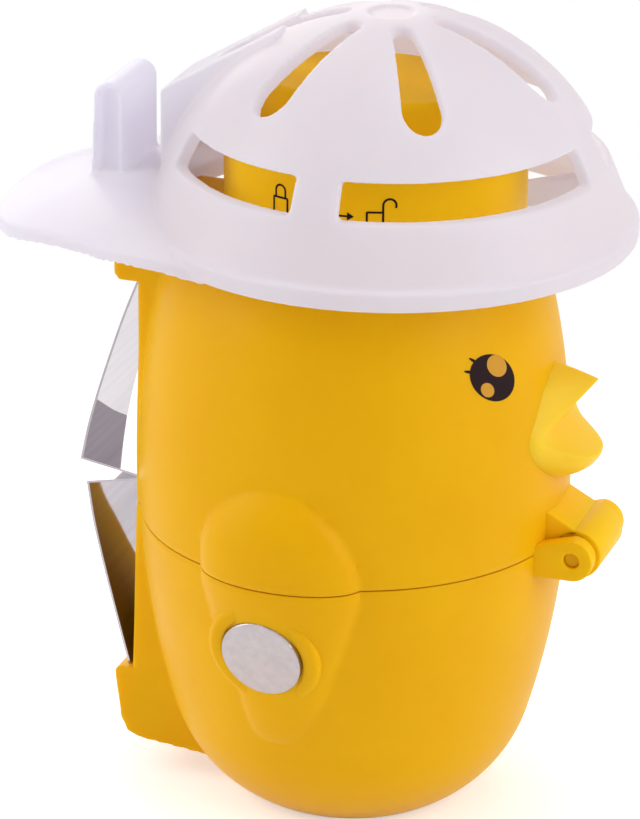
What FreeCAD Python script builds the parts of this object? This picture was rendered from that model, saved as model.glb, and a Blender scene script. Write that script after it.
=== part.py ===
"""Chick-shaped egg opener with a lift-off egg separator for a cap.

Millimetres. +X is the beak, +Y the chick's left, +Z up. The origin is the centre of the flat base.
The lower half stands on the table. The upper half turns about a pin at the chest, so the two steel
blades at the back part. A knob on the head turns a T-headed shaft that locks the halves together.
"""
import FreeCAD, Part
import math
import os
import Sketcher

Vector = FreeCAD.Vector
Rotation = FreeCAD.Rotation
Placement = FreeCAD.Placement

doc = FreeCAD.newDocument("egg_opener")

# ---------------------------------------------------------------- driving dimensions
DRIVING = (
    ("seam_height", 42.2, "parting plane of the two halves"),
    ("seam_gap", 0.2, "gap between the two rims"),
    ("fit", 0.3, "running and seating clearance"),
    ("pin_fit", 0.1, "clearance of pins and screws in their holes"),
    ("seat", 0.05, "clearance of glued and clamped faces that are not flat"),
    ("wall", 2.2, "wall of both halves"),
    ("floor_wall", 2.4, "floor of the lower half"),
    ("head_wall", 2.6, "top of the upper half"),
    ("base_radius", 15.3, "flat that the chick stands on"),
    ("foot_radius", 21.6, "round from the base to the flank, in section"),
    ("foot_join", 13.0, "height where that round meets the flank"),
    ("belly_radius", 30.8, "widest radius of the egg form"),
    ("belly_height", 48.5, "height of the widest place"),
    ("flank_radius", 126.0, "flank of the egg form, in section"),
    ("shoulder_join", 74.5, "height where the flank meets the shoulder"),
    ("shoulder_radius", 29.3, "round of the shoulder, in section"),
    ("head_radius", 23.0, "flat top of the upper half"),
    ("head_height", 86.0, "height of that flat top"),
    ("spine_half", 9.8, "half width of the rear spine"),
    ("spine_back", 29.3, "distance of the spine's flat back from the axis"),
    ("spine_step", 0.4, "how far the lower spine stands behind the upper one, at the seam"),
    ("spine_flare", 1.2, "how far the spine's foot stands further back"),
    ("spine_depth", 4.8, "solid depth of the spine behind the blades"),
    ("spine_root", 15.0, "how far the spine's block reaches into the egg form"),
    ("lip_reach", 3.6, "how far the upper lip stands out from the back"),
    ("lip_bottom", 76.1, "underside of the upper lip"),
    ("lip_height", 4.6, "height of the upper lip"),
    ("toe_reach", 2.8, "how far the foot lip stands out from the foot"),
    ("toe_bottom", 5.2, "underside of the foot"),
    ("toe_height", 10.9, "height of the foot lip"),
    ("wing_out", 16.0, "centre of the wing bulge, from the axis"),
    ("wing_aft", 1.7, "centre of the wing bulge, behind the axis"),
    ("wing_height", 30.0, "centre of the wing bulge, above the base"),
    ("wing_deep", 14.0, "half size of the wing bulge, outwards"),
    ("wing_tall", 31.8, "half size of the wing bulge, upwards"),
    ("wing_wide", 18.8, "half size of the wing bulge, along the body"),
    ("wing_lean", 20.4, "lean of the wing bulge, top outwards, degrees"),
    ("wing_sweep", 6.0, "sweep of the wing bulge, tip forwards, degrees"),
    ("magnet_radius", 6.0, "disc magnet"),
    ("magnet_depth", 3.0, "disc magnet"),
    ("magnet_proud", 0.6, "how far the disc stands out of its ring"),
    ("magnet_out", 30.9, "face of the magnet's ring, from the axis"),
    ("magnet_turn", 5.5, "the magnet's place behind the side, degrees"),
    ("magnet_lean", 14.0, "downward lean of the magnet's face, degrees"),
    ("magnet_height", 31.2, "centre of the magnet"),
    ("ring_radius", 8.2, "raised ring round the magnet"),
    ("pin_forward", 34.73, "hinge pin, in front of the axis"),
    ("pin_height", 42.15, "hinge pin, above the base"),
    ("pin_radius", 1.05, "hinge pin"),
    ("pin_recess", 0.7, "how deep the pin's ends sit in the ears"),
    ("ear_radius", 3.05, "ears of the lower half"),
    ("ear_outer", 8.4, "outer faces of the ears, from the middle"),
    ("ear_wide", 2.4, "thickness of an ear"),
    ("knuckle_radius", 3.6, "knuckle of the upper half"),
    ("web_rise", 5.9, "height of the knuckle's web at the chest, above the seam"),
    ("steel", 0.5, "sheet of the blades"),
    ("blade_half", 8.7, "half width of the blades"),
    ("tip_back", 38.5, "edge of the upper blade, behind the axis"),
    ("tip_up", 1.8, "edge of the upper blade, above the place where the blades meet"),
    ("tip_down", 1.8, "edge of the lower blade, under that place"),
    ("tip_short", 0.8, "how much the lower blade falls short of the upper"),
    ("blades_rise", 3.6, "where the blades meet at the back, above the parting plane"),
    ("blade_gap", 0.4, "gap between the blades there"),
    ("screw_radius", 1.1, "shank of the small screws"),
    ("screw_head", 2.2, "head of the small screws"),
    ("screw_head_tall", 1.3, "head of the small screws"),
    ("blade_screw_long", 4.2, "screws of the blades, under the head"),
    ("screw_over_meet", 8.0, "lower screw of the upper blade, above the place where the blades meet"),
    ("screw_under_lip", 7.0, "upper screw of the upper blade, under the lip"),
    ("screw_over_foot", 9.6, "lower screw of the lower blade, above the foot's lip"),
    ("screw_under_seam", 5.4, "upper screw of the lower blade, under the parting plane"),
    ("deck_screw_long", 9.0, "screws of the decks, under the head"),
    ("deck", 2.2, "thickness of the two inner decks"),
    ("deck_drop", 0.4, "decks' set-back from the rims"),
    ("post_radius", 3.2, "screw posts"),
    ("post_front", 12.0, "front posts, in front of the axis"),
    ("post_rear", 13.0, "rear posts, behind the axis"),
    ("post_side", 17.5, "posts, from the middle"),
    ("knob_forward", 2.6, "knob axis, in front of the body axis"),
    ("dial_radius", 21.2, "round lower part of the knob"),
    ("dial_tall", 14.0, "height of the round part"),
    ("grip_long", 16.8, "half length of the oval grip"),
    ("grip_wide", 12.2, "half width of the oval grip"),
    ("grip_top", 107.0, "top of the grip, above the base"),
    ("knob_round", 1.2, "rounded edges of the knob"),
    ("shaft_radius", 2.4, "lock shaft"),
    ("shaft_square", 3.2, "square end of the shaft, across the flats"),
    ("socket_deep", 9.0, "square socket in the knob"),
    ("sleeve_long", 5.0, "sleeve round the shaft, under the top"),
    ("bushing_wall", 1.2, "wall of the bushing in the sleeve"),
    ("groove_deep", 0.5, "groove of the clip in the shaft"),
    ("latch_arm", 6.5, "reach of each arm of the T-head"),
    ("latch_half", 2.1, "half width of an arm"),
    ("latch_tall", 3.2, "height of the T-head"),
    ("keeper", 1.2, "thickness of the two keeper plates"),
    ("keeper_long", 17.0, "keeper plates, along the body"),
    ("keeper_wide", 9.0, "keeper plates, across the body"),
    ("keeper_side", 2.8, "inner edge of a keeper plate, from the middle"),
    ("mouth_radius", 9.0, "hole in the lower deck for the T-head"),
    ("spring_front", 19.0, "spring axis, in front of the body axis"),
    ("spring_radius", 3.9, "middle of the spring's wire, from its axis"),
    ("spring_wire", 0.5, "radius of the spring's wire"),
    ("spring_turns", 6.0, "turns of the spring"),
    ("cup_deep", 7.0, "spring cups, under and over the decks"),
    ("cup_wall", 1.2, "wall of the spring cups"),
    ("clip_radius", 4.4, "clip that holds the lock shaft"),
    ("clip_tall", 0.8, "clip that holds the lock shaft"),
    ("washer_tall", 0.9, "washer under the knob"),
    ("washer_radius", 6.5, "washer under the knob"),
    ("beak_height", 59.6, "middle of the beak, above the base"),
    ("beak_root", 9.2, "half height of the beak's root"),
    ("beak_half", 11.2, "half width of the beak's root"),
    ("beak_tip", 36.5, "tips of the beak, in front of the axis"),
    ("mouth_back", 30.0, "corner of the mouth, in front of the axis"),
    ("mouth_up", 48.0, "slope of the upper mandible's underside, degrees"),
    ("mouth_down", 33.0, "slope of the lower mandible's top, degrees"),
    ("peg_radius", 2.4, "peg that holds the beak"),
    ("peg_long", 4.0, "peg that holds the beak, behind the chest's surface"),
    ("cap_forward", 4.6, "cap axis, in front of the body axis"),
    ("dome_radius", 33.0, "outside of the cap's dome"),
    ("dome_height", 83.8, "centre of the dome, above the base"),
    ("cap_wall", 2.0, "wall of the cap"),
    ("skirt_top", 96.0, "height where the dome meets the skirt"),
    ("skirt_flare", 1.0, "how far the foot of the skirt stands outside the dome's radius"),
    ("flange_out", 0.9, "how far the rim stands out from the skirt"),
    ("flange_bottom", 85.1, "underside of the rim"),
    ("flange_tall", 2.8, "height of the rim"),
    ("dimple_radius", 3.2, "dimple in the top of the dome"),
    ("dimple_deep", 0.6, "dimple in the top of the dome"),
    ("slot_inner", 7.6, "inner end of a drain slot, from the cap's axis"),
    ("slot_outer", 21.1, "outer end of a drain slot, from the cap's axis"),
    ("slot_narrow", 1.5, "half width of a drain slot at its inner end"),
    ("slot_broad", 2.85, "half width of a drain slot at its outer end"),
    ("window_bottom", 96.0, "long windows, above the base"),
    ("window_top", 101.0, "long windows, above the base"),
    ("bill_edge", 49.6, "ends of the bill's back edge, behind the body axis"),
    ("bill_edge_half", 11.0, "ends of the bill's back edge, from the middle"),
    ("bill_edge_radius", 60.0, "curve of the bill's back edge, seen from above"),
    ("bill_corner_radius", 14.0, "round corners of the bill, seen from above"),
    ("bill_flank", 40.5, "where the corners meet the sides, behind the body axis"),
    ("bill_flank_half", 22.0, "half width of the bill there"),
    ("bill_flank_radius", 200.0, "curve of the sides behind the cap"),
    ("bill_side", 28.0, "where the sides start to curve in, behind the body axis"),
    ("bill_side_half", 27.2, "half width of the bill there"),
    ("bill_side_radius", 110.0, "curve of the sides beside the cap"),
    ("bill_front", 12.0, "where the bill meets the rim, behind the body axis"),
    ("bill_front_half", 29.6, "half width of the bill there"),
    ("bill_crown_back", 20.0, "top of the bill's arch, behind the body axis"),
    ("bill_crown", 92.0, "top of the bill's arch, above the base"),
    ("bill_radius", 83.0, "arch of the bill, outside"),
    ("bill_wall", 1.7, "wall of the bill"),
    ("hump_back", 27.2, "back of the hump behind the dome, from the body axis"),
    ("hump_half", 6.5, "half width of the hump"),
    ("hump_front", 10.0, "where the hump runs out on the dome, behind the body axis"),
    ("hump_bottom", 89.6, "foot of the hump, inside the bill"),
    ("hump_top", 103.6, "back edge of the hump's top"),
    ("hump_slope", 31.0, "slope of the hump's top, degrees"),
    ("rim_gap", 5.2, "gap between the hump and the hook, for a bowl's rim"),
    ("hook_thick", 5.2, "hook on the bill, at its foot"),
    ("hook_top", 103.8, "top of the hook"),
    ("fin_half", 0.8, "half thickness of the fins inside the cap"),
    ("fin_top", 89.0, "top of the fins inside the cap"),
)

sheet = doc.addObject("Spreadsheet::Sheet", "Sizes")


class Size:
    """A length or an angle: its number now, and the text that binds it to the sheet."""

    def __init__(self, number, text):
        self.number = number
        self.text = text

    def __add__(self, other):
        other = as_size(other)
        return Size(self.number + other.number, f"({self.text} + {other.text})")

    def __sub__(self, other):
        other = as_size(other)
        return Size(self.number - other.number, f"({self.text} - {other.text})")

    def __rsub__(self, other):
        return as_size(other) - self

    def __mul__(self, other):
        other = as_size(other)
        return Size(self.number * other.number, f"({self.text} * {other.text})")

    def __truediv__(self, other):
        other = as_size(other)
        return Size(self.number / other.number, f"({self.text} / {other.text})")

    def __neg__(self):
        return Size(-self.number, f"(-{self.text})")

    __radd__ = __add__
    __rmul__ = __mul__


def as_size(value):
    if isinstance(value, Size):
        return value
    return Size(float(value), repr(float(value)))


def root(value):
    return Size(math.sqrt(value.number), f"sqrt({value.text})")


def sine(angle):
    return Size(math.sin(math.radians(angle.number)), f"sin({angle.text})")


def cosine(angle):
    return Size(math.cos(math.radians(angle.number)), f"cos({angle.text})")


def slope(angle):
    return Size(math.tan(math.radians(angle.number)), f"tan({angle.text})")


class Sizes:
    """The driving dimensions by name, each bound to its cell."""

    def __init__(self, table):
        for row, (name, number, note) in enumerate(table, start=1):
            sheet.set(f"A{row}", name)
            sheet.set(f"B{row}", str(number))
            sheet.set(f"C{row}", note)
            sheet.setAlias(f"B{row}", name)
            setattr(self, name, Size(number, f"Sizes.{name}"))


s = Sizes(DRIVING)
doc.recompute()
NOTHING = as_size(0)


# ---------------------------------------------------------------- helpers
def bind(thing, **sizes):
    """Set properties and tie them to the sheet."""
    for name, value in sizes.items():
        value = as_size(value)
        setattr(thing, name, value.number)
        thing.setExpression(name, value.text)
    return thing


def place(thing, x=NOTHING, y=NOTHING, z=NOTHING, turn=None):
    """Put a thing at a bound point, turned by a fixed rotation."""
    x, y, z = as_size(x), as_size(y), as_size(z)
    thing.Placement = Placement(Vector(x.number, y.number, z.number), turn or Rotation())
    thing.setExpression("Placement.Base.x", x.text)
    thing.setExpression("Placement.Base.y", y.text)
    thing.setExpression("Placement.Base.z", z.text)
    return thing


ALONG = {
    "x": Rotation(Vector(0, 1, 0), 90),
    "-x": Rotation(Vector(0, 1, 0), -90),
    "y": Rotation(Vector(1, 0, 0), -90),
    "z": Rotation(),
    "-z": Rotation(Vector(1, 0, 0), 180),
}


def cylinder(name, radius, height, x=NOTHING, y=NOTHING, z=NOTHING, along="z"):
    thing = doc.addObject("Part::Cylinder", name)
    bind(thing, Radius=radius, Height=height)
    return place(thing, x, y, z, ALONG[along])


def block(name, x, y, z):
    """A box between two bound corners, each of x, y and z a pair."""
    thing = doc.addObject("Part::Box", name)
    low, high = zip(*((as_size(a), as_size(b)) for a, b in (x, y, z)))
    bind(thing, Length=high[0] - low[0], Width=high[1] - low[1], Height=high[2] - low[2])
    return place(thing, *low)


def cut(name, base, *tools):
    thing = doc.addObject("Part::Cut", name)
    thing.Base = base
    thing.Tool = tools[0] if len(tools) == 1 else fuse(name + "_tools", *tools)
    return thing


def fuse(name, *shapes):
    thing = doc.addObject("Part::MultiFuse", name)
    thing.Shapes = list(shapes)
    return thing


def common(name, *shapes):
    thing = doc.addObject("Part::MultiCommon", name)
    thing.Shapes = list(shapes)
    return thing


def mirrored(name, source):
    """The same shape on the chick's other side."""
    thing = doc.addObject("Part::Mirroring", name)
    thing.Source = source
    thing.Base = Vector(0, 0, 0)
    thing.Normal = Vector(0, 1, 0)
    return thing


PLANE = {
    "xz": Rotation(Vector(1, 0, 0), 90),
    "xy": Rotation(),
    "yz": Rotation(Vector(1, 1, 1), 120),
}


def arc_centre(start, end, radius):
    """Centre of the arc that turns left from start to end."""
    across, up = end[0] - start[0], end[1] - start[1]
    chord = root(across * across + up * up)
    height = root(radius * radius - chord * chord / 4)
    return ((start[0] + end[0]) / 2 - up / chord * height,
            (start[1] + end[1]) / 2 + across / chord * height)


def outline(name, plane, points):
    """A sketch of a closed outline, counter-clockwise.

    Each point is (across, up), or (across, up, radius) where an arc that bulges outwards leads to
    the next point, or (across, up, -radius) where it bulges inwards.
    """
    sketch = doc.addObject("Sketcher::SketchObject", name)
    sketch.Placement = Placement(Vector(), PLANE[plane])
    points = [tuple(as_size(value) for value in point) for point in points]
    starts = []
    for point, following in zip(points, points[1:] + points[:1]):
        here = Vector(point[0].number, point[1].number)
        there = Vector(following[0].number, following[1].number)
        if len(point) == 2:
            index = sketch.addGeometry(Part.LineSegment(here, there))
            starts.append((index, 1, 2))
            continue
        radius = abs(point[2].number)
        first, last = (here, there) if point[2].number > 0 else (there, here)
        chord = last - first
        middle = (first + last) * 0.5
        left = Vector(-chord.y, chord.x).normalize()
        centre = middle + left * math.sqrt(radius ** 2 - (chord.Length / 2) ** 2)
        begin = math.atan2(first.y - centre.y, first.x - centre.x)
        end = math.atan2(last.y - centre.y, last.x - centre.x)
        circle = Part.Circle(centre, Vector(0, 0, 1), radius)
        index = sketch.addGeometry(Part.ArcOfCircle(circle, begin, end))
        starts.append((index, 1, 2) if point[2].number > 0 else (index, 2, 1))
    for (index, _, last), (following, first, _) in zip(starts, starts[1:] + starts[:1]):
        sketch.addConstraint(Sketcher.Constraint("Coincident", index, last, following, first))
    for point, (index, first, _) in zip(points, starts):
        for kind, value in (("DistanceX", point[0]), ("DistanceY", point[1])):
            number = sketch.addConstraint(
                Sketcher.Constraint(kind, -1, 1, index, first, value.number))
            sketch.setExpression(f"Constraints[{number}]", value.text)
        if len(point) == 3:
            reach = point[2] if point[2].number > 0 else -point[2]
            number = sketch.addConstraint(Sketcher.Constraint("Radius", index, reach.number))
            sketch.setExpression(f"Constraints[{number}]", reach.text)
    return sketch


def turned(name, sketch, forward=NOTHING, angle=360, start=0):
    """A sketch in the XZ plane turned about an upright axis at X = forward.

    The sketch is drawn with that axis at its origin.
    """
    thing = doc.addObject("Part::Revolution", name)
    thing.Source = sketch
    thing.Axis = Vector(0, 0, 1)
    thing.Base = Vector(0, 0, 0)
    thing.Solid = True
    bind(thing, Angle=angle)
    return place(thing, forward, NOTHING, NOTHING, Rotation(Vector(0, 0, 1), start))


def drawn(name, sketch, length, direction=(0, 1, 0), both_ways=True):
    """A sketch drawn out to a solid, to both sides of its plane or along the direction."""
    thing = doc.addObject("Part::Extrusion", name)
    thing.Base = sketch
    thing.DirMode = "Custom"
    thing.Dir = Vector(*direction)
    thing.Solid = True
    thing.Symmetric = both_ways
    bind(thing, LengthFwd=length)
    return thing


# ---------------------------------------------------------------- egg form, shared by both halves
def on_arc(centre, radius, up, side=1):
    """Distance from the axis of the arc's point at a height."""
    rise = up - centre[1]
    return centre[0] + side * root(radius * radius - rise * rise)


flank_centre = (s.belly_radius - s.flank_radius, s.belly_height)
foot_end = (on_arc(flank_centre, s.flank_radius, s.foot_join), s.foot_join)
shoulder_end = (on_arc(flank_centre, s.flank_radius, s.shoulder_join), s.shoulder_join)
foot_centre = arc_centre((s.base_radius, NOTHING), foot_end, s.foot_radius)
head_end = (s.head_radius, s.head_height)
shoulder_centre = arc_centre(shoulder_end, head_end, s.shoulder_radius)


def inwards(point, centre, radius):
    """The point a wall's thickness nearer to the arc's centre."""
    share = (radius - s.wall) / radius
    return (centre[0] + (point[0] - centre[0]) * share, centre[1] + (point[1] - centre[1]) * share)


def body_radius(up):
    """Outside of the egg form at a height on the flank."""
    return on_arc(flank_centre, s.flank_radius, up)


egg_outline = outline("egg_outline", "xz", (
    (0, 0),
    (s.base_radius, 0, s.foot_radius),
    (*foot_end, s.flank_radius),
    (*shoulder_end, s.shoulder_radius),
    head_end,
    (0, s.head_height),
))
egg_form = turned("egg_form", egg_outline)

ceiling = s.head_height - s.head_wall
inner_foot = inwards(foot_end, flank_centre, s.flank_radius)
inner_shoulder = inwards(shoulder_end, flank_centre, s.flank_radius)
hollow_outline = outline("hollow_outline", "xz", (
    (0, s.floor_wall),
    (on_arc(foot_centre, s.foot_radius - s.wall, s.floor_wall), s.floor_wall, s.foot_radius - s.wall),
    (*inner_foot, s.flank_radius - s.wall),
    (*inner_shoulder, s.shoulder_radius - s.wall),
    (on_arc(shoulder_centre, s.shoulder_radius - s.wall, ceiling), ceiling),
    (0, ceiling),
))
hollow_form = turned("hollow_form", hollow_outline)

# ---------------------------------------------------------------- shared heights and places
upper_bottom = s.seam_height + s.seam_gap
lower_deck_top = s.seam_height - s.deck_drop
lower_deck_bottom = lower_deck_top - s.deck
upper_deck_bottom = upper_bottom + s.deck_drop
upper_deck_top = upper_deck_bottom + s.deck
spine_front = s.spine_back - s.spine_depth
blades_meet = s.seam_height + s.blades_rise
WIDE = s.belly_radius * 2
TALL = s.head_height * 1.5
posts = ((s.post_front, s.post_side), (s.post_front, -s.post_side),
         (-s.post_rear, s.post_side), (-s.post_rear, -s.post_side))


def each_post(name, radius, low, high):
    return [cylinder(f"{name}_{number}", radius, high - low, x, y, low)
            for number, (x, y) in enumerate(posts, start=1)]


below_seam = block("below_seam", (-WIDE, WIDE), (-WIDE, WIDE), (-s.fit, s.seam_height))
above_seam = block("above_seam", (-WIDE, WIDE), (-WIDE, WIDE), (upper_bottom, TALL))


# ---------------------------------------------------------------- wings
def wing(name):
    """The bulge of the near wing, leaning outwards at the top."""
    thing = doc.addObject("Part::Ellipsoid", name)
    bind(thing, Radius1=s.wing_tall, Radius2=s.wing_wide, Radius3=s.wing_deep)
    thing.Angle1, thing.Angle2, thing.Angle3 = -90, 90, 360
    lean = Rotation(Vector(1, 0, 0), s.wing_lean.number)
    sweep = Rotation(Vector(0, 1, 0), -s.wing_sweep.number)
    return place(thing, -s.wing_aft, -s.wing_out, s.wing_height, lean.multiply(sweep))


wing_right = wing("wing_right")
wing_left = mirrored("wing_left", wing_right)

# the magnet's own axis: outwards and a little down
magnet_turn = Rotation(Vector(0, 0, 1), -90 - s.magnet_turn.number).multiply(
    Rotation(Vector(0, 1, 0), 90 + s.magnet_lean.number))
magnet_axis = (-sine(s.magnet_turn) * cosine(s.magnet_lean),
               -cosine(s.magnet_turn) * cosine(s.magnet_lean),
               -sine(s.magnet_lean))


def magnet_cylinder(name, radius, height, outwards):
    """A cylinder along the magnet's axis, whose start lies outwards of the ring's face."""
    thing = doc.addObject("Part::Cylinder", name)
    bind(thing, Radius=radius, Height=height)
    reach = [s.magnet_out * -sine(s.magnet_turn) + outwards * magnet_axis[0],
             s.magnet_out * -cosine(s.magnet_turn) + outwards * magnet_axis[1],
             s.magnet_height + outwards * magnet_axis[2]]
    return place(thing, *reach, magnet_turn)


ring_boss = magnet_cylinder("ring_boss", s.ring_radius, s.magnet_depth + s.wall, -(s.magnet_depth + s.wall))
ring_soft = doc.addObject("Part::Fillet", "ring_soft")
doc.recompute()


def edges_where(shape, test):
    """Numbers of the edges whose centre passes the test."""
    return [number for number, edge in enumerate(shape.Edges, start=1) if test(edge.CenterOfMass, edge)]


ring_middle = ring_boss.Placement.Base
ring_soft.Base = ring_boss
ring_soft.Edges = [(number, 0.8, 0.8) for number in edges_where(
    ring_boss.Shape, lambda centre, edge: edge.Closed and (centre - ring_middle).Length > s.wall.number)]
ring_left = mirrored("ring_left", ring_soft)
magnet_hole = magnet_cylinder("magnet_hole", s.magnet_radius + s.pin_fit, s.magnet_depth * 2,
                              s.magnet_proud - s.magnet_depth - s.pin_fit)
magnet_hole_left = mirrored("magnet_hole_left", magnet_hole)
magnet_right = magnet_cylinder("magnet_right", s.magnet_radius, s.magnet_depth,
                               s.magnet_proud - s.magnet_depth)
magnet_left = mirrored("magnet_left", magnet_right)

# ---------------------------------------------------------------- rear spine
foot_back = s.spine_back + s.spine_flare
lower_back_top = s.spine_back + s.spine_step
toe_back = foot_back + s.toe_reach
toe_top = s.toe_bottom + s.toe_height
lower_spine_outline = outline("lower_spine_outline", "xz", (
    (-lower_back_top, s.seam_height),
    (-foot_back, toe_top),
    (-toe_back + 0.3, toe_top - 0.5),
    (-toe_back, toe_top - 1.6),
    (-toe_back + 0.8, s.toe_bottom + 2.8),
    (-toe_back + 1.8, s.toe_bottom + 0.6),
    (-toe_back + 3.6, s.toe_bottom),
    (-foot_back + s.spine_root * 0.8, s.toe_bottom - 1.2),
    (-foot_back + s.spine_root, s.seam_height),
))
lower_spine = drawn("lower_spine", lower_spine_outline, s.spine_half * 2)
upper_spine_outline = outline("upper_spine_outline", "xz", (
    (-s.spine_back, s.head_height),
    (-s.spine_back, s.lip_bottom + s.lip_height + 2.6),
    (-s.spine_back - s.lip_reach, s.lip_bottom + s.lip_height),
    (-s.spine_back - s.lip_reach, s.lip_bottom + 1.2),
    (-s.spine_back - s.lip_reach + 0.5, s.lip_bottom + 0.5),
    (-s.spine_back, s.lip_bottom),
    (-s.spine_back, upper_bottom),
    (-s.spine_back + s.spine_root, upper_bottom),
    (-s.spine_back + s.spine_root, s.head_height),
))
upper_spine = drawn("upper_spine", upper_spine_outline, s.spine_half * 2)

# ---------------------------------------------------------------- lower half
ear_inner = s.ear_outer - s.ear_wide
chest = body_radius(s.seam_height)


def ear_pair(name, low, high):
    """Two upright plates that carry the hinge pin."""
    tab_top = s.pin_height + 1.3
    discs = cylinder(f"{name}_disc", s.ear_radius, high - low, s.pin_forward, low, s.pin_height, "y")
    tab = block(f"{name}_tab", (chest - 4, s.pin_forward), (low, high),
                (s.pin_height - s.ear_radius, s.seam_height))
    bridge = block(f"{name}_bridge", (chest + 0.9, s.pin_forward), (low, high),
                   (s.pin_height - s.ear_radius, tab_top))
    return [discs, tab, bridge]


ears = ear_pair("right_ear", -s.ear_outer, -ear_inner) + ear_pair("left_ear", ear_inner, s.ear_outer)
pin_hole = cylinder("pin_hole", s.pin_radius + s.pin_fit, s.ear_outer * 2 + 4,
                    s.pin_forward, -s.ear_outer - 2, s.pin_height, "y")

lower_solid = common("lower_solid", fuse("lower_forms", egg_form, wing_right, wing_left), below_seam)
blade_side = s.tip_back + s.lip_reach
lower_blade_room = drawn("lower_blade_room", outline("lower_room_outline", "xz", (
    (-blade_side, toe_top),
    (-foot_back, toe_top),
    (-lower_back_top, s.seam_height),
    (-lower_back_top, upper_bottom + s.wall),
    (-blade_side, upper_bottom + s.wall),
)), s.spine_half * 2)
lower_outside = cut("lower_outside", fuse("lower_pieces", lower_solid, lower_spine, ring_soft, ring_left, *ears),
                    lower_blade_room)
spine_keep = block("spine_keep", (-WIDE, -spine_front), (-s.spine_half, s.spine_half), (0, TALL))
lower_posts = each_post("lower_post", s.post_radius, NOTHING, lower_deck_bottom)
magnet_back = magnet_cylinder("magnet_back", s.ring_radius, s.magnet_depth + s.wall,
                              -(s.magnet_depth + s.wall))
magnet_back_left = mirrored("magnet_back_left", magnet_back)
lower_hollow = cut("lower_hollow", common("lower_hollow_form", hollow_form, below_seam),
                   spine_keep, magnet_back, magnet_back_left, *lower_posts)
lower_post_holes = each_post("lower_post_hole", s.screw_radius + s.pin_fit,
                             lower_deck_bottom - s.deck_screw_long, s.seam_height)


def blade_screw_places(upper):
    """Heights of a blade's two screws."""
    if upper:
        return (blades_meet + s.screw_over_meet, s.lip_bottom - s.screw_under_lip)
    return (toe_top + s.screw_over_foot, s.seam_height - s.screw_under_seam)


def blade_holes(name, upper):
    reach = s.blade_screw_long + s.wall
    return [cylinder(f"{name}_{number}", s.screw_radius + s.pin_fit, reach,
                     -s.spine_back - s.wall, NOTHING, height, "x")
            for number, height in enumerate(blade_screw_places(upper), start=1)]


lower_blade_holes = blade_holes("lower_blade_hole", upper=False)
lower_shell = cut("lower_shell", lower_outside, lower_hollow, pin_hole, magnet_hole, magnet_hole_left,
                  *lower_post_holes, *lower_blade_holes)

# ---------------------------------------------------------------- upper half
web_outline = outline("web_outline", "xz", (
    (chest - 3, s.seam_height + s.seam_gap),
    (s.pin_forward, s.seam_height + s.seam_gap),
    (s.pin_forward + 1.4, s.pin_height + s.knuckle_radius - 0.5),
    (chest - 3, s.seam_height + s.web_rise + 1),
))
knuckle_half = ear_inner - s.fit
web = drawn("web", web_outline, knuckle_half * 2)
knuckle = cylinder("knuckle", s.knuckle_radius, knuckle_half * 2, s.pin_forward, -knuckle_half,
                   s.pin_height, "y")
upper_solid = common("upper_solid", fuse("upper_forms", egg_form, wing_right, wing_left), above_seam)
upper_blade_room = block("upper_blade_room", (-blade_side, -s.spine_back), (-s.spine_half, s.spine_half),
                         (s.seam_height, s.lip_bottom))
upper_outside = cut("upper_outside", fuse("upper_pieces", upper_solid, upper_spine, web, knuckle),
                    upper_blade_room)
upper_posts = each_post("upper_post", s.post_radius, upper_deck_top, s.head_height - 1)
shaft_sleeve = cylinder("shaft_sleeve", s.shaft_radius + s.bushing_wall + s.wall, s.head_wall + s.sleeve_long,
                        s.knob_forward, NOTHING, ceiling - s.sleeve_long)
upper_hollow = cut("upper_hollow", common("upper_hollow_form", hollow_form, above_seam),
                   spine_keep, shaft_sleeve, *upper_posts)
upper_post_holes = each_post("upper_post_hole", s.screw_radius + s.pin_fit, upper_bottom,
                             upper_deck_top + s.deck_screw_long)
shaft_hole = cylinder("shaft_hole", s.shaft_radius + s.bushing_wall + s.seat, s.head_height, s.knob_forward,
                      NOTHING, ceiling - s.sleeve_long - s.wall)
peg_hole = cylinder("peg_hole", s.peg_radius + s.pin_fit, s.peg_long * 3,
                    body_radius(s.beak_height) - s.peg_long * 2, NOTHING, s.beak_height, "x")
upper_blade_holes = blade_holes("upper_blade_hole", upper=True)
upper_shell = cut("upper_shell", upper_outside, upper_hollow, pin_hole, shaft_hole, peg_hole,
                  *upper_post_holes, *upper_blade_holes)


# ---------------------------------------------------------------- blades, folded from one strip each
def folded_blade(name, up, root_point, leg_end, tip, end):
    """A strip: a leg on the spine, out to the edge, and back to the lip. up is 1 or -1."""
    skin = s.steel
    points = [leg_end,
              (leg_end[0] - skin, leg_end[1]),
              (root_point[0] - skin, root_point[1] + skin * up),
              (tip[0] + skin * 2.6, tip[1] + skin * up * 0.9),
              (end[0] + skin * 1.05, end[1]),
              end,
              tip,
              root_point]
    if up < 0:
        points.reverse()
    return drawn(name + "_strip", outline(name + "_outline", "xz", points), s.blade_half * 2)


upper_leg_back = -s.spine_back - s.seat
lower_leg_top = -lower_back_top - s.seat
upper_strip = folded_blade(
    "upper_blade", 1,
    root_point=(upper_leg_back, blades_meet + s.blade_gap / 2),
    leg_end=(upper_leg_back, s.lip_bottom - 1.2),
    tip=(-s.tip_back, blades_meet + s.tip_up),
    end=(-s.spine_back - 1.6, s.lip_bottom - 0.4))
lower_strip = folded_blade(
    "lower_blade", -1,
    root_point=(lower_leg_top, blades_meet - s.blade_gap / 2),
    leg_end=(-foot_back - s.seat, toe_top + 1.4),
    tip=(-s.tip_back + s.tip_short, blades_meet - s.tip_down),
    end=(-foot_back - 1.2, toe_top + 0.4))
upper_blade = cut("upper_blade", upper_strip, *blade_holes("upper_blade_bore", upper=True))
lower_blade = cut("lower_blade", lower_strip, *blade_holes("lower_blade_bore", upper=False))


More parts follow.
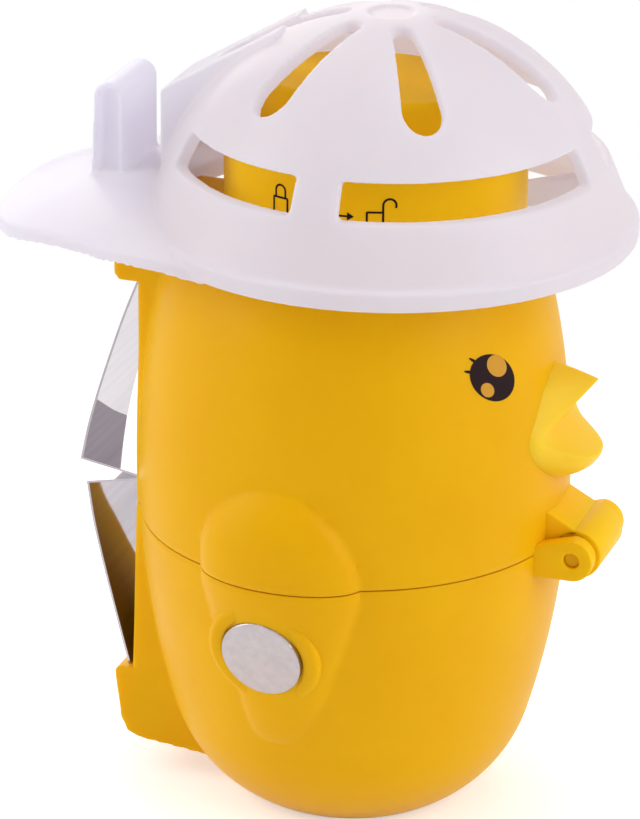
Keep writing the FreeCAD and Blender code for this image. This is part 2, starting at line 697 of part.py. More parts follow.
def screw(name, length, x, y, z, along):
    """A pan-head screw with its seat at the point and its shank along the direction."""
    shank = cylinder(name + "_shank", s.screw_radius, length, x, y, z, along)
    back = {"x": (-1, 0), "z": (0, -1), "-z": (0, 1)}[along]
    head = cylinder(name + "_head", s.screw_head, s.screw_head_tall,
                    as_size(x) + s.screw_head_tall * back[0], y,
                    as_size(z) + s.screw_head_tall * back[1], along)
    return fuse(name, shank, head)


def group(name, members):
    thing = doc.addObject("Part::Compound", name)
    thing.Links = members
    return thing


def blade_screws(name, upper):
    """Screws whose heads sit on the blade's leg. The lower leg leans, and its heads clear it all round."""
    lean = NOTHING if upper else (foot_back - lower_back_top) / (s.seam_height - toe_top)
    top_back = s.spine_back if upper else lower_back_top
    screws = []
    for number, height in enumerate(blade_screw_places(upper), start=1):
        back = top_back + s.seat + s.steel + lean * (blades_meet - height + s.screw_head)
        screws.append(screw(f"{name}_{number}", s.blade_screw_long, -back, NOTHING, height, "x"))
    return group(name, screws)


upper_blade_screws = blade_screws("upper_blade_screws", upper=True)
lower_blade_screws = blade_screws("lower_blade_screws", upper=False)
hinge_pin = cylinder("hinge_pin", s.pin_radius, (s.ear_outer - s.pin_recess) * 2, s.pin_forward,
                     s.pin_recess - s.ear_outer, s.pin_height, "y")

# ---------------------------------------------------------------- decks that close the two halves
cup_inner = s.spring_radius + s.spring_wire + s.fit
cup_outer = cup_inner + s.cup_wall


def deck_disc(name, low, narrowest):
    """A disc that fills the hollow from its low face up, clear of the wall and the spine."""
    radius = on_arc(flank_centre, s.flank_radius - s.wall, narrowest) - s.fit
    disc = cylinder(name + "_disc", radius, s.deck, NOTHING, NOTHING, low)
    spine_room = block(name + "_spine_room", (-WIDE, s.fit - spine_front),
                       (-s.spine_half - s.fit, s.spine_half + s.fit), (low - s.fit, low + s.deck * 2))
    return disc, spine_room


lower_disc, lower_room = deck_disc("lower_deck", lower_deck_bottom, lower_deck_bottom)
lower_cup = cylinder("lower_cup", cup_outer, s.cup_deep + s.cup_wall, s.spring_front, NOTHING,
                     lower_deck_top - s.cup_deep - s.cup_wall)
lower_pocket = cylinder("lower_pocket", cup_inner, s.cup_deep + s.fit, s.spring_front, NOTHING,
                        lower_deck_top - s.cup_deep)
mouth = cylinder("mouth", s.mouth_radius, s.deck * 3, s.knob_forward, NOTHING, lower_deck_bottom - s.deck)
magnet_room = magnet_cylinder("magnet_room", s.ring_radius + s.fit, s.magnet_depth + s.wall + s.fit,
                              -(s.magnet_depth + s.wall + s.fit))
magnet_room_left = mirrored("magnet_room_left", magnet_room)
lower_seat = lower_deck_top - s.screw_head_tall
upper_seat = upper_deck_bottom + s.screw_head_tall
lower_sinks = each_post("lower_sink", s.screw_head + s.pin_fit, lower_seat, lower_deck_top + 1)
lower_bores = each_post("lower_bore", s.screw_radius + s.pin_fit, lower_deck_bottom - 1, lower_deck_top)
keeper_outer = s.keeper_side + s.keeper_wide
keeper_edge = s.screw_head + s.pin_fit
keeper_screws_at = [(s.knob_forward + (s.keeper_long / 2 - keeper_edge) * along,
                     (keeper_outer - keeper_edge) * side)
                    for along in (1, -1) for side in (1, -1)]
keeper_screw_long = s.keeper + s.deck - s.screw_radius / 2


def keeper_holes(name, reach):
    return [cylinder(f"{name}_{number}", s.screw_radius + s.pin_fit, reach, x, y,
                     lower_deck_bottom - s.keeper) for number, (x, y) in enumerate(keeper_screws_at, start=1)]


lower_deck = cut("lower_deck", fuse("lower_deck_solid", lower_disc, lower_cup), lower_room, lower_pocket,
                 mouth, magnet_room, magnet_room_left, *lower_sinks, *lower_bores,
                 *keeper_holes("deck_keeper_hole", keeper_screw_long + s.pin_fit))
lower_deck_screws = group("lower_deck_screws", [
    screw(f"lower_deck_screw_{number}", s.deck_screw_long, x, y, lower_seat, "-z")
    for number, (x, y) in enumerate(posts, start=1)])

keeper_low = lower_deck_bottom - s.keeper
keeper_span = (s.knob_forward - s.keeper_long / 2, s.knob_forward + s.keeper_long / 2)
keeper_plates = [block("keeper_left", keeper_span, (s.keeper_side, keeper_outer),
                       (keeper_low, lower_deck_bottom)),
                 block("keeper_right", keeper_span, (-keeper_outer, -s.keeper_side),
                       (keeper_low, lower_deck_bottom))]
latch_plates = group("latch_plates", [
    cut(f"latch_plate_{number}", plate, *keeper_holes(f"plate_{number}_hole", s.keeper * 2))
    for number, plate in enumerate(keeper_plates, start=1)])
latch_plate_screws = group("latch_plate_screws", [
    screw(f"latch_plate_screw_{number}", keeper_screw_long, x, y, keeper_low, "z")
    for number, (x, y) in enumerate(keeper_screws_at, start=1)])

upper_disc, upper_room = deck_disc("upper_deck", upper_deck_bottom, upper_deck_bottom)
upper_cup = cylinder("upper_cup", cup_outer, s.cup_deep + s.cup_wall, s.spring_front, NOTHING,
                     upper_deck_bottom)
upper_pocket = cylinder("upper_pocket", cup_inner, s.cup_deep + s.fit, s.spring_front, NOTHING,
                        upper_deck_bottom - s.fit)
upper_sinks = each_post("upper_sink", s.screw_head + s.pin_fit, upper_deck_bottom - 1, upper_seat)
upper_bores = each_post("upper_bore", s.screw_radius + s.pin_fit, upper_deck_bottom, upper_deck_top + 1)
shaft_room = cylinder("shaft_room", s.shaft_radius + s.fit, s.deck * 3, s.knob_forward, NOTHING,
                      upper_deck_bottom - s.deck)
upper_deck = cut("upper_deck", fuse("upper_deck_solid", upper_disc, upper_cup), upper_room, upper_pocket,
                 shaft_room, *upper_sinks, *upper_bores)
upper_deck_screws = group("upper_deck_screws", [
    screw(f"upper_deck_screw_{number}", s.deck_screw_long, x, y, upper_seat, "z")
    for number, (x, y) in enumerate(posts, start=1)])

# ---------------------------------------------------------------- opening spring
spring_low = lower_deck_top - s.cup_deep + s.spring_wire + s.seat
spring_high = upper_deck_bottom + s.cup_deep - s.spring_wire - s.seat
coil = doc.addObject("Part::Helix", "coil")
bind(coil, Height=spring_high - spring_low, Radius=s.spring_radius,
     Pitch=(spring_high - spring_low) / s.spring_turns)
place(coil, s.spring_front, NOTHING, spring_low)
wire_section = doc.addObject("Part::Circle", "wire_section")
bind(wire_section, Radius=s.spring_wire)
place(wire_section, s.spring_front + s.spring_radius, NOTHING, spring_low, Rotation(Vector(1, 0, 0), 90))
doc.recompute()
opening_spring = doc.addObject("Part::Sweep", "opening_spring")
opening_spring.Sections = [wire_section]
opening_spring.Spine = (coil, ["Edge1"])
opening_spring.Solid = True
opening_spring.Frenet = True

# ---------------------------------------------------------------- beak
def beak_section(number, forward, middle, tall, wide):
    """A rounded diamond across the beak."""
    side = (tall + wide) * 0.8
    section = outline(f"beak_section_{number}", "yz", (
        (wide, middle, side), (0, middle + tall, side), (-wide, middle, side), (0, middle - tall, side)))
    return place(section, forward, turn=PLANE["yz"])


beak_back = body_radius(s.beak_height) - 5
beak_loft = doc.addObject("Part::Loft", "beak_loft")
beak_loft.Sections = [
    beak_section(1, beak_back, s.beak_height, s.beak_root, s.beak_half),
    beak_section(2, beak_back + 5.4, s.beak_height + 0.3, s.beak_root - 0.7, s.beak_half - 3.2),
    beak_section(3, beak_back + 9.2, s.beak_height + 0.5, s.beak_root - 2.1, s.beak_half - 6.6),
    beak_section(4, s.beak_tip, s.beak_height + 1.2, s.beak_root - 3.3, s.beak_half - 9.5)]
beak_loft.Solid = True
beak_loft.Ruled = False
mouth_reach = s.beak_tip - s.mouth_back + 4
mouth_height = s.beak_height + 0.4
mouth_outline = outline("mouth_outline", "xz", (
    (s.mouth_back, mouth_height),
    (s.mouth_back + mouth_reach, mouth_height - mouth_reach * slope(s.mouth_down)),
    (s.mouth_back + mouth_reach, mouth_height + mouth_reach * slope(s.mouth_up)),
))
beak_mouth = drawn("beak_mouth", mouth_outline, s.beak_half * 4)
seat_low, seat_high = s.beak_height - s.beak_root - 3, s.beak_height + s.beak_root + 3
beak_seat = turned("beak_seat", outline("beak_seat_outline", "xz", (
    (0, seat_low),
    (body_radius(seat_low) + s.seat, seat_low, s.flank_radius),
    (body_radius(seat_high) + s.seat, seat_high),
    (0, seat_high),
)))
beak_peg = cylinder("beak_peg", s.peg_radius, s.peg_long + 1.2, body_radius(s.beak_height) - s.peg_long,
                    NOTHING, s.beak_height, "x")
beak = fuse("beak", cut("beak_solid", beak_loft, beak_mouth, beak_seat), beak_peg)

# ---------------------------------------------------------------- lock: knob, shaft and T-head
knob_bottom = s.head_height + s.fit
dial_top = knob_bottom + s.dial_tall
dial_outline = outline("dial_outline", "xz", (
    (0, knob_bottom),
    (s.dial_radius, knob_bottom),
    (s.dial_radius, dial_top - s.knob_round, s.knob_round),
    (s.dial_radius - s.knob_round, dial_top),
    (0, dial_top),
))
dial = turned("dial", dial_outline, s.knob_forward)
grip_edge = doc.addObject("Part::Ellipse", "grip_edge")
bind(grip_edge, MajorRadius=s.grip_long, MinorRadius=s.grip_wide)
place(grip_edge, s.knob_forward, NOTHING, dial_top)
grip_block = drawn("grip_block", grip_edge, s.grip_top - dial_top, (0, 0, 1), both_ways=False)
doc.recompute()
knob_grip = doc.addObject("Part::Fillet", "knob_grip")
knob_grip.Base = grip_block
knob_grip.Edges = [(number, s.knob_round.number, s.knob_round.number) for number in edges_where(
    grip_block.Shape, lambda centre, edge: edge.Closed and abs(centre.z - s.grip_top.number) < s.fit.number)]
hub_radius = s.washer_radius + s.wall
knob_hollow = cut("knob_hollow",
                  cylinder("knob_hollow_outer", s.dial_radius - s.wall, s.dial_tall - s.wall + s.fit,
                           s.knob_forward, NOTHING, knob_bottom - s.fit),
                  cylinder("knob_hub", hub_radius, s.dial_tall, s.knob_forward, NOTHING, knob_bottom - s.fit))
washer_top = s.head_height + s.seat + s.washer_tall
knob_recess = cylinder("knob_recess", s.washer_radius + s.fit, washer_top + s.seat - knob_bottom + s.fit,
                       s.knob_forward, NOTHING, knob_bottom - s.fit)
socket_bottom = washer_top + s.seat
square_half = s.shaft_square / 2
socket = block("socket", (s.knob_forward - square_half - s.seat, s.knob_forward + square_half + s.seat),
               (-square_half - s.seat, square_half + s.seat), (knob_bottom, socket_bottom + s.socket_deep))
lock_knob = cut("lock_knob", dial, knob_hollow, knob_recess, socket)
knob_washer = cut("knob_washer",
                  cylinder("washer_disc", s.washer_radius, s.washer_tall, s.knob_forward, NOTHING,
                           s.head_height + s.seat),
                  cylinder("washer_hole", s.shaft_radius + s.pin_fit, s.washer_tall * 3, s.knob_forward,
                           NOTHING, s.head_height - s.washer_tall))

arm_top = keeper_low - s.fit
arm_bottom = arm_top - s.latch_tall
spigot_deep = s.latch_tall / 2
square_span = (s.knob_forward - square_half, s.knob_forward + square_half)
shaft_round = cylinder("shaft_round", s.shaft_radius, socket_bottom - arm_top, s.knob_forward, NOTHING, arm_top)
shaft_square = block("shaft_square_end", square_span, (-square_half, square_half),
                     (arm_top - spigot_deep + s.seat, socket_bottom + s.socket_deep - s.fit))
clip_top = ceiling - s.sleeve_long - s.fit
groove = cut("groove",
             cylinder("groove_outer", s.clip_radius, s.clip_tall + s.seat * 2, s.knob_forward, NOTHING,
                      clip_top - s.clip_tall - s.seat),
             cylinder("groove_core", s.shaft_radius - s.groove_deep, s.clip_tall * 3, s.knob_forward, NOTHING,
                      clip_top - s.clip_tall * 2))
latch_screw_hole = cylinder("latch_screw_hole", s.screw_radius + s.seat, s.deck_screw_long + s.fit,
                            s.knob_forward, NOTHING, arm_bottom)
lock_shaft = cut("lock_shaft", fuse("shaft_solid", shaft_round, shaft_square), groove, latch_screw_hole)
shaft_clip = cut("shaft_clip",
                 cylinder("clip_disc", s.clip_radius, s.clip_tall, s.knob_forward, NOTHING,
                          clip_top - s.clip_tall),
                 cylinder("clip_hole", s.shaft_radius - s.groove_deep + s.seat, s.clip_tall * 3, s.knob_forward,
                          NOTHING, clip_top - s.clip_tall * 2))
arm_socket = block("arm_socket",
                   (s.knob_forward - square_half - s.seat, s.knob_forward + square_half + s.seat),
                   (-square_half - s.seat, square_half + s.seat), (arm_top - spigot_deep, arm_top + s.fit))
arm_bore = cylinder("arm_bore", s.screw_radius + s.seat, s.latch_tall * 2, s.knob_forward, NOTHING,
                    arm_bottom - s.latch_tall / 2)
latch_arm = cut("latch_arm",
                block("arm_block", (s.knob_forward - s.latch_arm, s.knob_forward + s.latch_arm),
                      (-s.latch_half, s.latch_half), (arm_bottom, arm_top)), arm_socket, arm_bore)
latch_screw = screw("latch_screw", s.deck_screw_long, s.knob_forward, NOTHING, arm_bottom, "z")
knob_bushing = cut("knob_bushing",
                   cylinder("bushing_tube", s.shaft_radius + s.bushing_wall, s.head_wall + s.sleeve_long,
                            s.knob_forward, NOTHING, ceiling - s.sleeve_long),
                   cylinder("bushing_bore", s.shaft_radius + s.pin_fit, s.head_height, s.knob_forward,
                            NOTHING, ceiling - s.head_wall * 4))

# ---------------------------------------------------------------- cap: dome, bill, hump and hook
dome_inner = s.dome_radius - s.cap_wall
skirt_radius = s.dome_radius + s.skirt_flare
flange_radius = skirt_radius + s.flange_out
skirt_rise = s.skirt_top - s.dome_height
dome_apex = s.dome_height + s.dome_radius
skirt_outer_top = root(s.dome_radius * s.dome_radius - skirt_rise * skirt_rise)
skirt_inner_top = root(dome_inner * dome_inner - skirt_rise * skirt_rise)
flange_top = s.flange_bottom + s.flange_tall
skirt_inner = skirt_radius - s.cap_wall
cap_wall_form = turned("cap_wall_form", outline("cap_outline", "xz", (
    (skirt_inner, s.flange_bottom),
    (flange_radius, s.flange_bottom),
    (flange_radius, flange_top),
    (skirt_radius, flange_top),
    (skirt_outer_top, s.skirt_top, s.dome_radius),
    (0, dome_apex),
    (0, dome_apex - s.cap_wall, -dome_inner),
    (skirt_inner_top, s.skirt_top),
    (skirt_inner, flange_top),
)), s.cap_forward)
cap_core = turned("cap_core", outline("core_outline", "xz", (
    (0, s.flange_bottom),
    (flange_radius, s.flange_bottom),
    (flange_radius, flange_top),
    (skirt_radius, flange_top),
    (skirt_outer_top, s.skirt_top, s.dome_radius),
    (0, dome_apex),
)), s.cap_forward)


def cavity(name, bottom):
    """The hollow of the cap."""
    return turned(name, outline(name + "_outline", "xz", (
        (0, bottom),
        (skirt_inner, bottom),
        (skirt_inner, flange_top),
        (skirt_inner_top, s.skirt_top, dome_inner),
        (0, dome_apex - s.cap_wall),
    )), s.cap_forward)


bill_plan = drawn("bill_plan", outline("bill_outline", "xy", (
    (-s.bill_front, s.bill_front_half, s.bill_side_radius),
    (-s.bill_side, s.bill_side_half, s.bill_flank_radius),
    (-s.bill_flank, s.bill_flank_half, s.bill_corner_radius),
    (-s.bill_edge, s.bill_edge_half, s.bill_edge_radius),
    (-s.bill_edge, -s.bill_edge_half, s.bill_corner_radius),
    (-s.bill_flank, -s.bill_flank_half, s.bill_flank_radius),
    (-s.bill_side, -s.bill_side_half, s.bill_side_radius),
    (-s.bill_front, -s.bill_front_half),
)), s.bill_crown + s.wall, (0, 0, 1), both_ways=False)


def ball(name, radius):
    thing = doc.addObject("Part::Sphere", name)
    bind(thing, Radius=radius)
    return place(thing, -s.bill_crown_back, NOTHING, s.bill_crown - s.bill_radius)


bill = cut("bill", common("bill_outside", bill_plan, ball("bill_arch", s.bill_radius)),
           ball("bill_under", s.bill_radius - s.bill_wall),
           block("bill_floor", (-WIDE, WIDE), (-WIDE, WIDE), (-TALL, s.dome_height - s.cap_wall)))

hump_run = s.hump_back - s.hump_front
hump = drawn("hump", outline("hump_outline", "xz", (
    (-s.hump_back, s.hump_bottom),
    (-s.hump_front, s.hump_bottom),
    (-s.hump_front, s.hump_top + hump_run * slope(s.hump_slope)),
    (-s.hump_back, s.hump_top),
)), s.hump_half * 2)
hump_inner_run = hump_run - s.cap_wall * 2
hump_room_top = s.hump_top - s.cap_wall + s.cap_wall * slope(s.hump_slope) * 0.5
hump_room = drawn("hump_room", outline("hump_room_outline", "xz", (
    (-s.hump_back + s.cap_wall, s.flange_bottom - 1),
    (-s.hump_front - s.cap_wall, s.flange_bottom - 1),
    (-s.hump_front - s.cap_wall, hump_room_top + hump_inner_run * slope(s.hump_slope)),
    (-s.hump_back + s.cap_wall, hump_room_top),
)), (s.hump_half - s.cap_wall) * 2)

hook_front = -s.hump_back - s.rim_gap
hook_taper = 0.2
hook_round = (s.hook_thick - hook_taper * 3) / 2 + 0.1
hook_foot = s.bill_crown - s.bill_wall * 1.4
hook = drawn("hook", outline("hook_outline", "xz", (
    (hook_front - s.hook_thick, hook_foot),
    (hook_front, hook_foot),
    (hook_front, s.hook_top - hook_round, hook_round),
    (hook_front - s.hook_thick + hook_taper * 3, s.hook_top - hook_round),
)), s.hump_half * 2)

slot_outline = outline("slot_outline", "xy", (
    (s.slot_inner, -s.slot_narrow),
    (s.slot_outer, -s.slot_broad, s.slot_broad + 0.01),
    (s.slot_outer, s.slot_broad),
    (s.slot_inner, s.slot_narrow, s.slot_narrow + 0.01),
))
slots = []
for number in range(6):
    slot = drawn(f"slot_{number}", slot_outline, TALL, (0, 0, 1), both_ways=False)
    slots.append(place(slot, s.cap_forward, NOTHING, s.skirt_top, Rotation(Vector(0, 0, 1), number * 60)))

window_outline = outline("window_outline", "xz", (
    (dome_inner * 0.7, s.window_bottom),
    (flange_radius, s.window_bottom),
    (flange_radius, s.window_top),
    (dome_inner * 0.7, s.window_top),
))
WINDOWS = ((-85.3, 77.7), (7.6, 77.7), (98.3, 49.7), (-148.0, 49.7))
windows = [turned(f"window_{number}", window_outline, s.cap_forward, spread, first)
           for number, (first, spread) in enumerate(WINDOWS, start=1)]
dimple = cylinder("dimple", s.dimple_radius, s.dimple_deep * 3, s.cap_forward, NOTHING,
                  dome_apex - s.dimple_deep)
shelf_room = block("shelf_room", (-s.spine_back - s.lip_reach - s.fit, -s.head_radius + s.wall),
                   (-s.spine_half - s.fit, s.spine_half + s.fit), (s.flange_bottom - 1, s.head_height + s.fit))

FINS = (45, 105, 150, -45, -105, -150)
fins = []
for number, angle in enumerate(FINS, start=1):
    fin = block(f"fin_{number}", (dome_inner / 2, skirt_radius), (-s.fin_half, s.fin_half),
                (s.flange_bottom, s.fin_top))
    turn = Rotation(Vector(0, 0, 1), angle)
    start = turn.multVec(Vector(1, 0, 0))
    side = turn.multVec(Vector(0, 1, 0))
    place(fin, s.cap_forward + dome_inner / 2 * start.x - s.fin_half * side.x,
          dome_inner / 2 * start.y - s.fin_half * side.y, s.flange_bottom, turn)
    fins.append(fin)
head_seat_top = s.head_height + s.fit
head_seat_low = s.shoulder_join + s.fit
head_seat = turned("head_seat", outline("head_seat_outline", "xz", (
    (0, head_seat_low),
    (shoulder_end[0] + s.fit, head_seat_low, s.shoulder_radius),
    (s.head_radius + s.fit, head_seat_top),
    (0, head_seat_top),
)))
dial_room = cylinder("dial_room", s.dial_radius + s.fit * 2, s.dial_tall, s.knob_forward, NOTHING,
                     s.head_height)
cap_cavity = cavity("cap_cavity", s.flange_bottom - s.cap_wall)


def level(name, low, high):
    """The cap's wall between two heights."""
    return common(name, cap_wall_form, block(name + "_range", (-WIDE, WIDE), (-WIDE, WIDE), (low, high)))


# The cap is one moulding. It is given as simple solids that meet face to face, so that collision can follow its wall.
cap_crown = cut("cap_crown", level("crown_wall", s.window_top, dome_apex + 1), hump_room, dimple, *slots)
cap_posts = cut("cap_posts", level("post_wall", s.window_bottom, s.window_top), hump, *windows)
cap_skirt = cut("cap_skirt", level("skirt_wall", s.flange_bottom - 1, s.window_bottom), hump_room, shelf_room)
cap_fins = cut("cap_fins", common("fin_blades", fuse("fin_plates", *fins), cavity("fin_space", s.flange_bottom)),
               head_seat, dial_room, shelf_room)
cap_visor = cut("cap_visor", bill, cap_core, cap_cavity, hump_room, shelf_room)
cap_hump = cut("cap_hump", hump, cap_cavity, hump_room, *slots,
               cut("other_levels", cap_core, block("post_range", (-WIDE, WIDE), (-WIDE, WIDE), (s.window_bottom, s.window_top))))
cap_hook = cut("cap_hook", hook, ball("bill_top", s.bill_radius))

# ---------------------------------------------------------------- check and export
NODES = (lower_shell, lower_deck, lower_deck_screws, latch_plates, latch_plate_screws,
         lower_blade, lower_blade_screws, hinge_pin, magnet_right, magnet_left, opening_spring,
         upper_shell, upper_deck, upper_deck_screws, upper_blade, upper_blade_screws, beak, knob_bushing,
         lock_knob, knob_grip, knob_washer, lock_shaft, shaft_clip, latch_arm, latch_screw,
         cap_crown, cap_posts, cap_skirt, cap_fins, cap_visor, cap_hump, cap_hook)
doc.recompute()
faults = [thing.Name for thing in doc.Objects if "Invalid" in thing.State or "Error" in thing.State]
if faults:
    raise RuntimeError(f"not computed: {faults}")
os.makedirs("parts", exist_ok=True)
for node in NODES:
    shape = node.Shape
    if shape.isNull() or not shape.isValid() or not shape.Solids:
        raise RuntimeError(f"{node.Label} is not a valid solid")
    print(f"{node.Label}: {len(shape.Solids)} solids, {shape.Volume:.1f} cubic mm")
    shape.exportStep(f"parts/{node.Label}.step")
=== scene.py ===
# %% [markdown]
# # A chick that opens eggs
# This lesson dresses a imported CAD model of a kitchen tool: a yellow plastic chick in two halves that
# hinge at the chest, with two steel blades at the back and a milky white cap that separates eggs.
# Lengths are thought of in millimetres, as in a workshop. Blender works in metres, so every finished
# mesh is scaled down once, at the very end of its making.

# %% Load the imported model
import bisect
import math

import bmesh
import bpy
from mathutils import Matrix, Vector


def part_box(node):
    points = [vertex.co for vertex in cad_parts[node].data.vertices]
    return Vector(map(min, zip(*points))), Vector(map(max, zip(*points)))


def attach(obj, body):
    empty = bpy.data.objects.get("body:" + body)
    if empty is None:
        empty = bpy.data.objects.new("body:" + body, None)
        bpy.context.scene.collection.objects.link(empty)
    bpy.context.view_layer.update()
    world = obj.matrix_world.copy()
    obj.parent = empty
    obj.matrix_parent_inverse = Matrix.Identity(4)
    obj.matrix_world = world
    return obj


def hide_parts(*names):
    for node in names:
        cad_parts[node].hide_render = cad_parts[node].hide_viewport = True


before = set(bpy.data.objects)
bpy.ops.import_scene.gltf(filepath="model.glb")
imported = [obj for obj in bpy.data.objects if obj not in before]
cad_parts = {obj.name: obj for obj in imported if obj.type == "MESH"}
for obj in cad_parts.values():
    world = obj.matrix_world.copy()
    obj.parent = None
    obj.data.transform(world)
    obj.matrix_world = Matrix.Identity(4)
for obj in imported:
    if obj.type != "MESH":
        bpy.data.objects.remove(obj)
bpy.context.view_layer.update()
MM = 0.001

# %% [markdown]
# ## Sizes
# A few sizes carry the whole chick. The knob's axis and tiers, the cap's rim and the pin are read from
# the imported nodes, so that the dressed pieces sit where the solids are.


# %% Read the driving sizes from the nodes
def node_box(name):
    """Lowest and highest corner of a node, in millimetres."""
    low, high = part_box(name)
    return Vector(low) / MM, Vector(high) / MM


knob_box, grip_box = node_box("lock_knob"), node_box("knob_grip")
cap_box, pin_box = node_box("cap_skirt"), node_box("hinge_pin")
SEAM_LOW, SEAM_HIGH, HEAD_TOP = 42.2, 42.4, 86.0
KNOB_X = (knob_box[0].x + knob_box[1].x) / 2
DIAL_RADIUS = (knob_box[1].x - knob_box[0].x) / 2
DIAL_BOTTOM, DIAL_TOP, GRIP_TOP = knob_box[0].z, grip_box[0].z, grip_box[1].z
CAP_RADIUS = cap_box[1].y
CAP_X = cap_box[1].x - CAP_RADIUS
PIN_X = (pin_box[0].x + pin_box[1].x) / 2
PIN_Z = (pin_box[0].z + pin_box[1].z) / 2
print(f"knob axis at x {KNOB_X:.2f}, dial radius {DIAL_RADIUS:.2f}, grip top {GRIP_TOP:.2f}")
print(f"cap axis at x {CAP_X:.2f}, rim radius {CAP_RADIUS:.2f}, pin at {PIN_X:.2f}, {PIN_Z:.2f}")

# %% [markdown]
# ## Helpers for making pieces
# Each piece is a bmesh in millimetres. `finish_piece` turns it into an object with its place in its
# mesh, and says which body it rides on. Smooth shading is by angle, so that sharp moulded edges stay
# crisp while round walls shade softly.


# %% Finish a piece and ride it on its body
def linked(name, data):
    """A new object in the scene."""
    item = bpy.data.objects.new(name, data)
    bpy.context.scene.collection.objects.link(item)
    return item


def mesh_of(name, shape):
    """A mesh with the geometry of a bmesh, which is freed."""
    mesh = bpy.data.meshes.new(name)
    shape.to_mesh(mesh)
    shape.free()
    return mesh


def finish_piece(name, shape, body, material, stands_for=(), smooth_angle=35, weld=0.001):
    """Turn a bmesh in millimetres into a finished object on a body."""
    if weld:
        bmesh.ops.remove_doubles(shape, verts=shape.verts, dist=weld)
    bmesh.ops.recalc_face_normals(shape, faces=shape.faces)
    place_mesh(name, mesh_of(name, shape), body, material, stands_for, smooth_angle)


def place_mesh(name, mesh, body, material, stands_for=(), smooth_angle=35):
    """Scale a mesh to metres, shade it and hand it to its body."""
    mesh.transform(Matrix.Scale(MM, 4))
    mesh.materials.clear()
    mesh.materials.append(material)
    piece = linked(name, mesh)
    shade_by_angle(mesh, smooth_angle)
    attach(piece, body)
    if stands_for:
        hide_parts(*stands_for)
    print(f"{name}: {len(mesh.polygons)} faces on {body}")


def shade_by_angle(mesh, angle):
    """Smooth faces, with sharp edges above the angle."""
    for face in mesh.polygons:
        face.use_smooth = True
    shape = bmesh.new()
    shape.from_mesh(mesh)
    limit = math.radians(angle)
    for edge in shape.edges:
        edge.smooth = not (edge.is_manifold and edge.calc_face_angle(0) > limit)
    shape.to_mesh(mesh)
    shape.free()


def modified_mesh(name, mesh, *recipes):
    """Apply modifiers, each (type, settings), to a mesh and return the result."""
    helper = linked(name + "_helper", mesh)
    for kind, settings in recipes:
        modifier = helper.modifiers.new(kind, kind)
        for key, value in settings.items():
            setattr(modifier, key, value)
    bpy.context.view_layer.update()
    evaluated = helper.evaluated_get(bpy.context.evaluated_depsgraph_get())
    result = bpy.data.meshes.new_from_object(evaluated)
    bpy.data.objects.remove(helper)
    return result


def bevelled(shape, geometry, offset, segments=3, affect="EDGES"):
    """Round edges or vertices of a bmesh."""
    bmesh.ops.bevel(shape, geom=geometry, offset=offset, segments=segments, profile=0.5, affect=affect,
                    material=-1)
    return shape


# %% [markdown]
# ## Materials
# The chick is moulded from a soft-looking satin plastic that lets a little light in, so its shader
# has some subsurface scattering. Colour, roughness and a fine bump vary with noise on Object
# coordinates, which keeps the pattern fixed to the piece when it moves.


# %% A recipe for plastics
def srgb(red, green, blue):
    """A screen colour of 0 to 255 as the linear colour that shaders use."""
    def linear(value):
        value /= 255
        return value / 12.92 if value <= 0.04045 else ((value + 0.055) / 1.055) ** 2.4
    return linear(red), linear(green), linear(blue), 1.0


def set_inputs(node, **values):
    """Give plain values to a shader node's inputs; an underscore stands for a space."""
    for name, value in values.items():
        node.inputs[name.replace("_", " ")].default_value = value
    return node


def new_material(name):
    """A material with its nodes, links, main shader and the socket of its Object coordinates."""
    material = bpy.data.materials.new(name)
    material.use_nodes = True
    nodes, links = material.node_tree.nodes, material.node_tree.links
    shader = nodes["Principled BSDF"]
    return material, nodes, links, shader, nodes.new("ShaderNodeTexCoord").outputs["Object"]


def noise(nodes, links, place, scale, detail=3.0):
    """Noise of 0 to 1 at a place given by a vector socket."""
    texture = set_inputs(nodes.new("ShaderNodeTexNoise"), Scale=scale, Detail=detail)
    links.new(place, texture.inputs["Vector"])
    return texture.outputs["Fac"]


def blended(nodes, links, factor, low, high):
    """Colours low and high mixed by a factor."""
    ramp = nodes.new("ShaderNodeValToRGB")
    for stop, position, colour in zip(ramp.color_ramp.elements, (0.3, 0.7), (low, high)):
        stop.position, stop.color = position, colour
    links.new(factor, ramp.inputs["Fac"])
    return ramp.outputs["Color"]


def ranged(nodes, links, value, low, high):
    """A value of 0 to 1 brought to a range."""
    node = set_inputs(nodes.new("ShaderNodeMapRange"), To_Min=low, To_Max=high)
    links.new(value, node.inputs["Value"])
    return node.outputs["Result"]


def bumped(nodes, links, shader, height, strength, distance):
    """A bump on a shader's normal; distance is in metres."""
    bump = set_inputs(nodes.new("ShaderNodeBump"), Strength=strength, Distance=distance)
    links.new(height, bump.inputs["Height"])
    links.new(bump.outputs["Normal"], shader.inputs["Normal"])


CLOUD_SCALE, SMUDGE_SCALE, GRAIN_SCALE, METAL_SCALE = 55.0, 140.0, 2600.0, 900.0


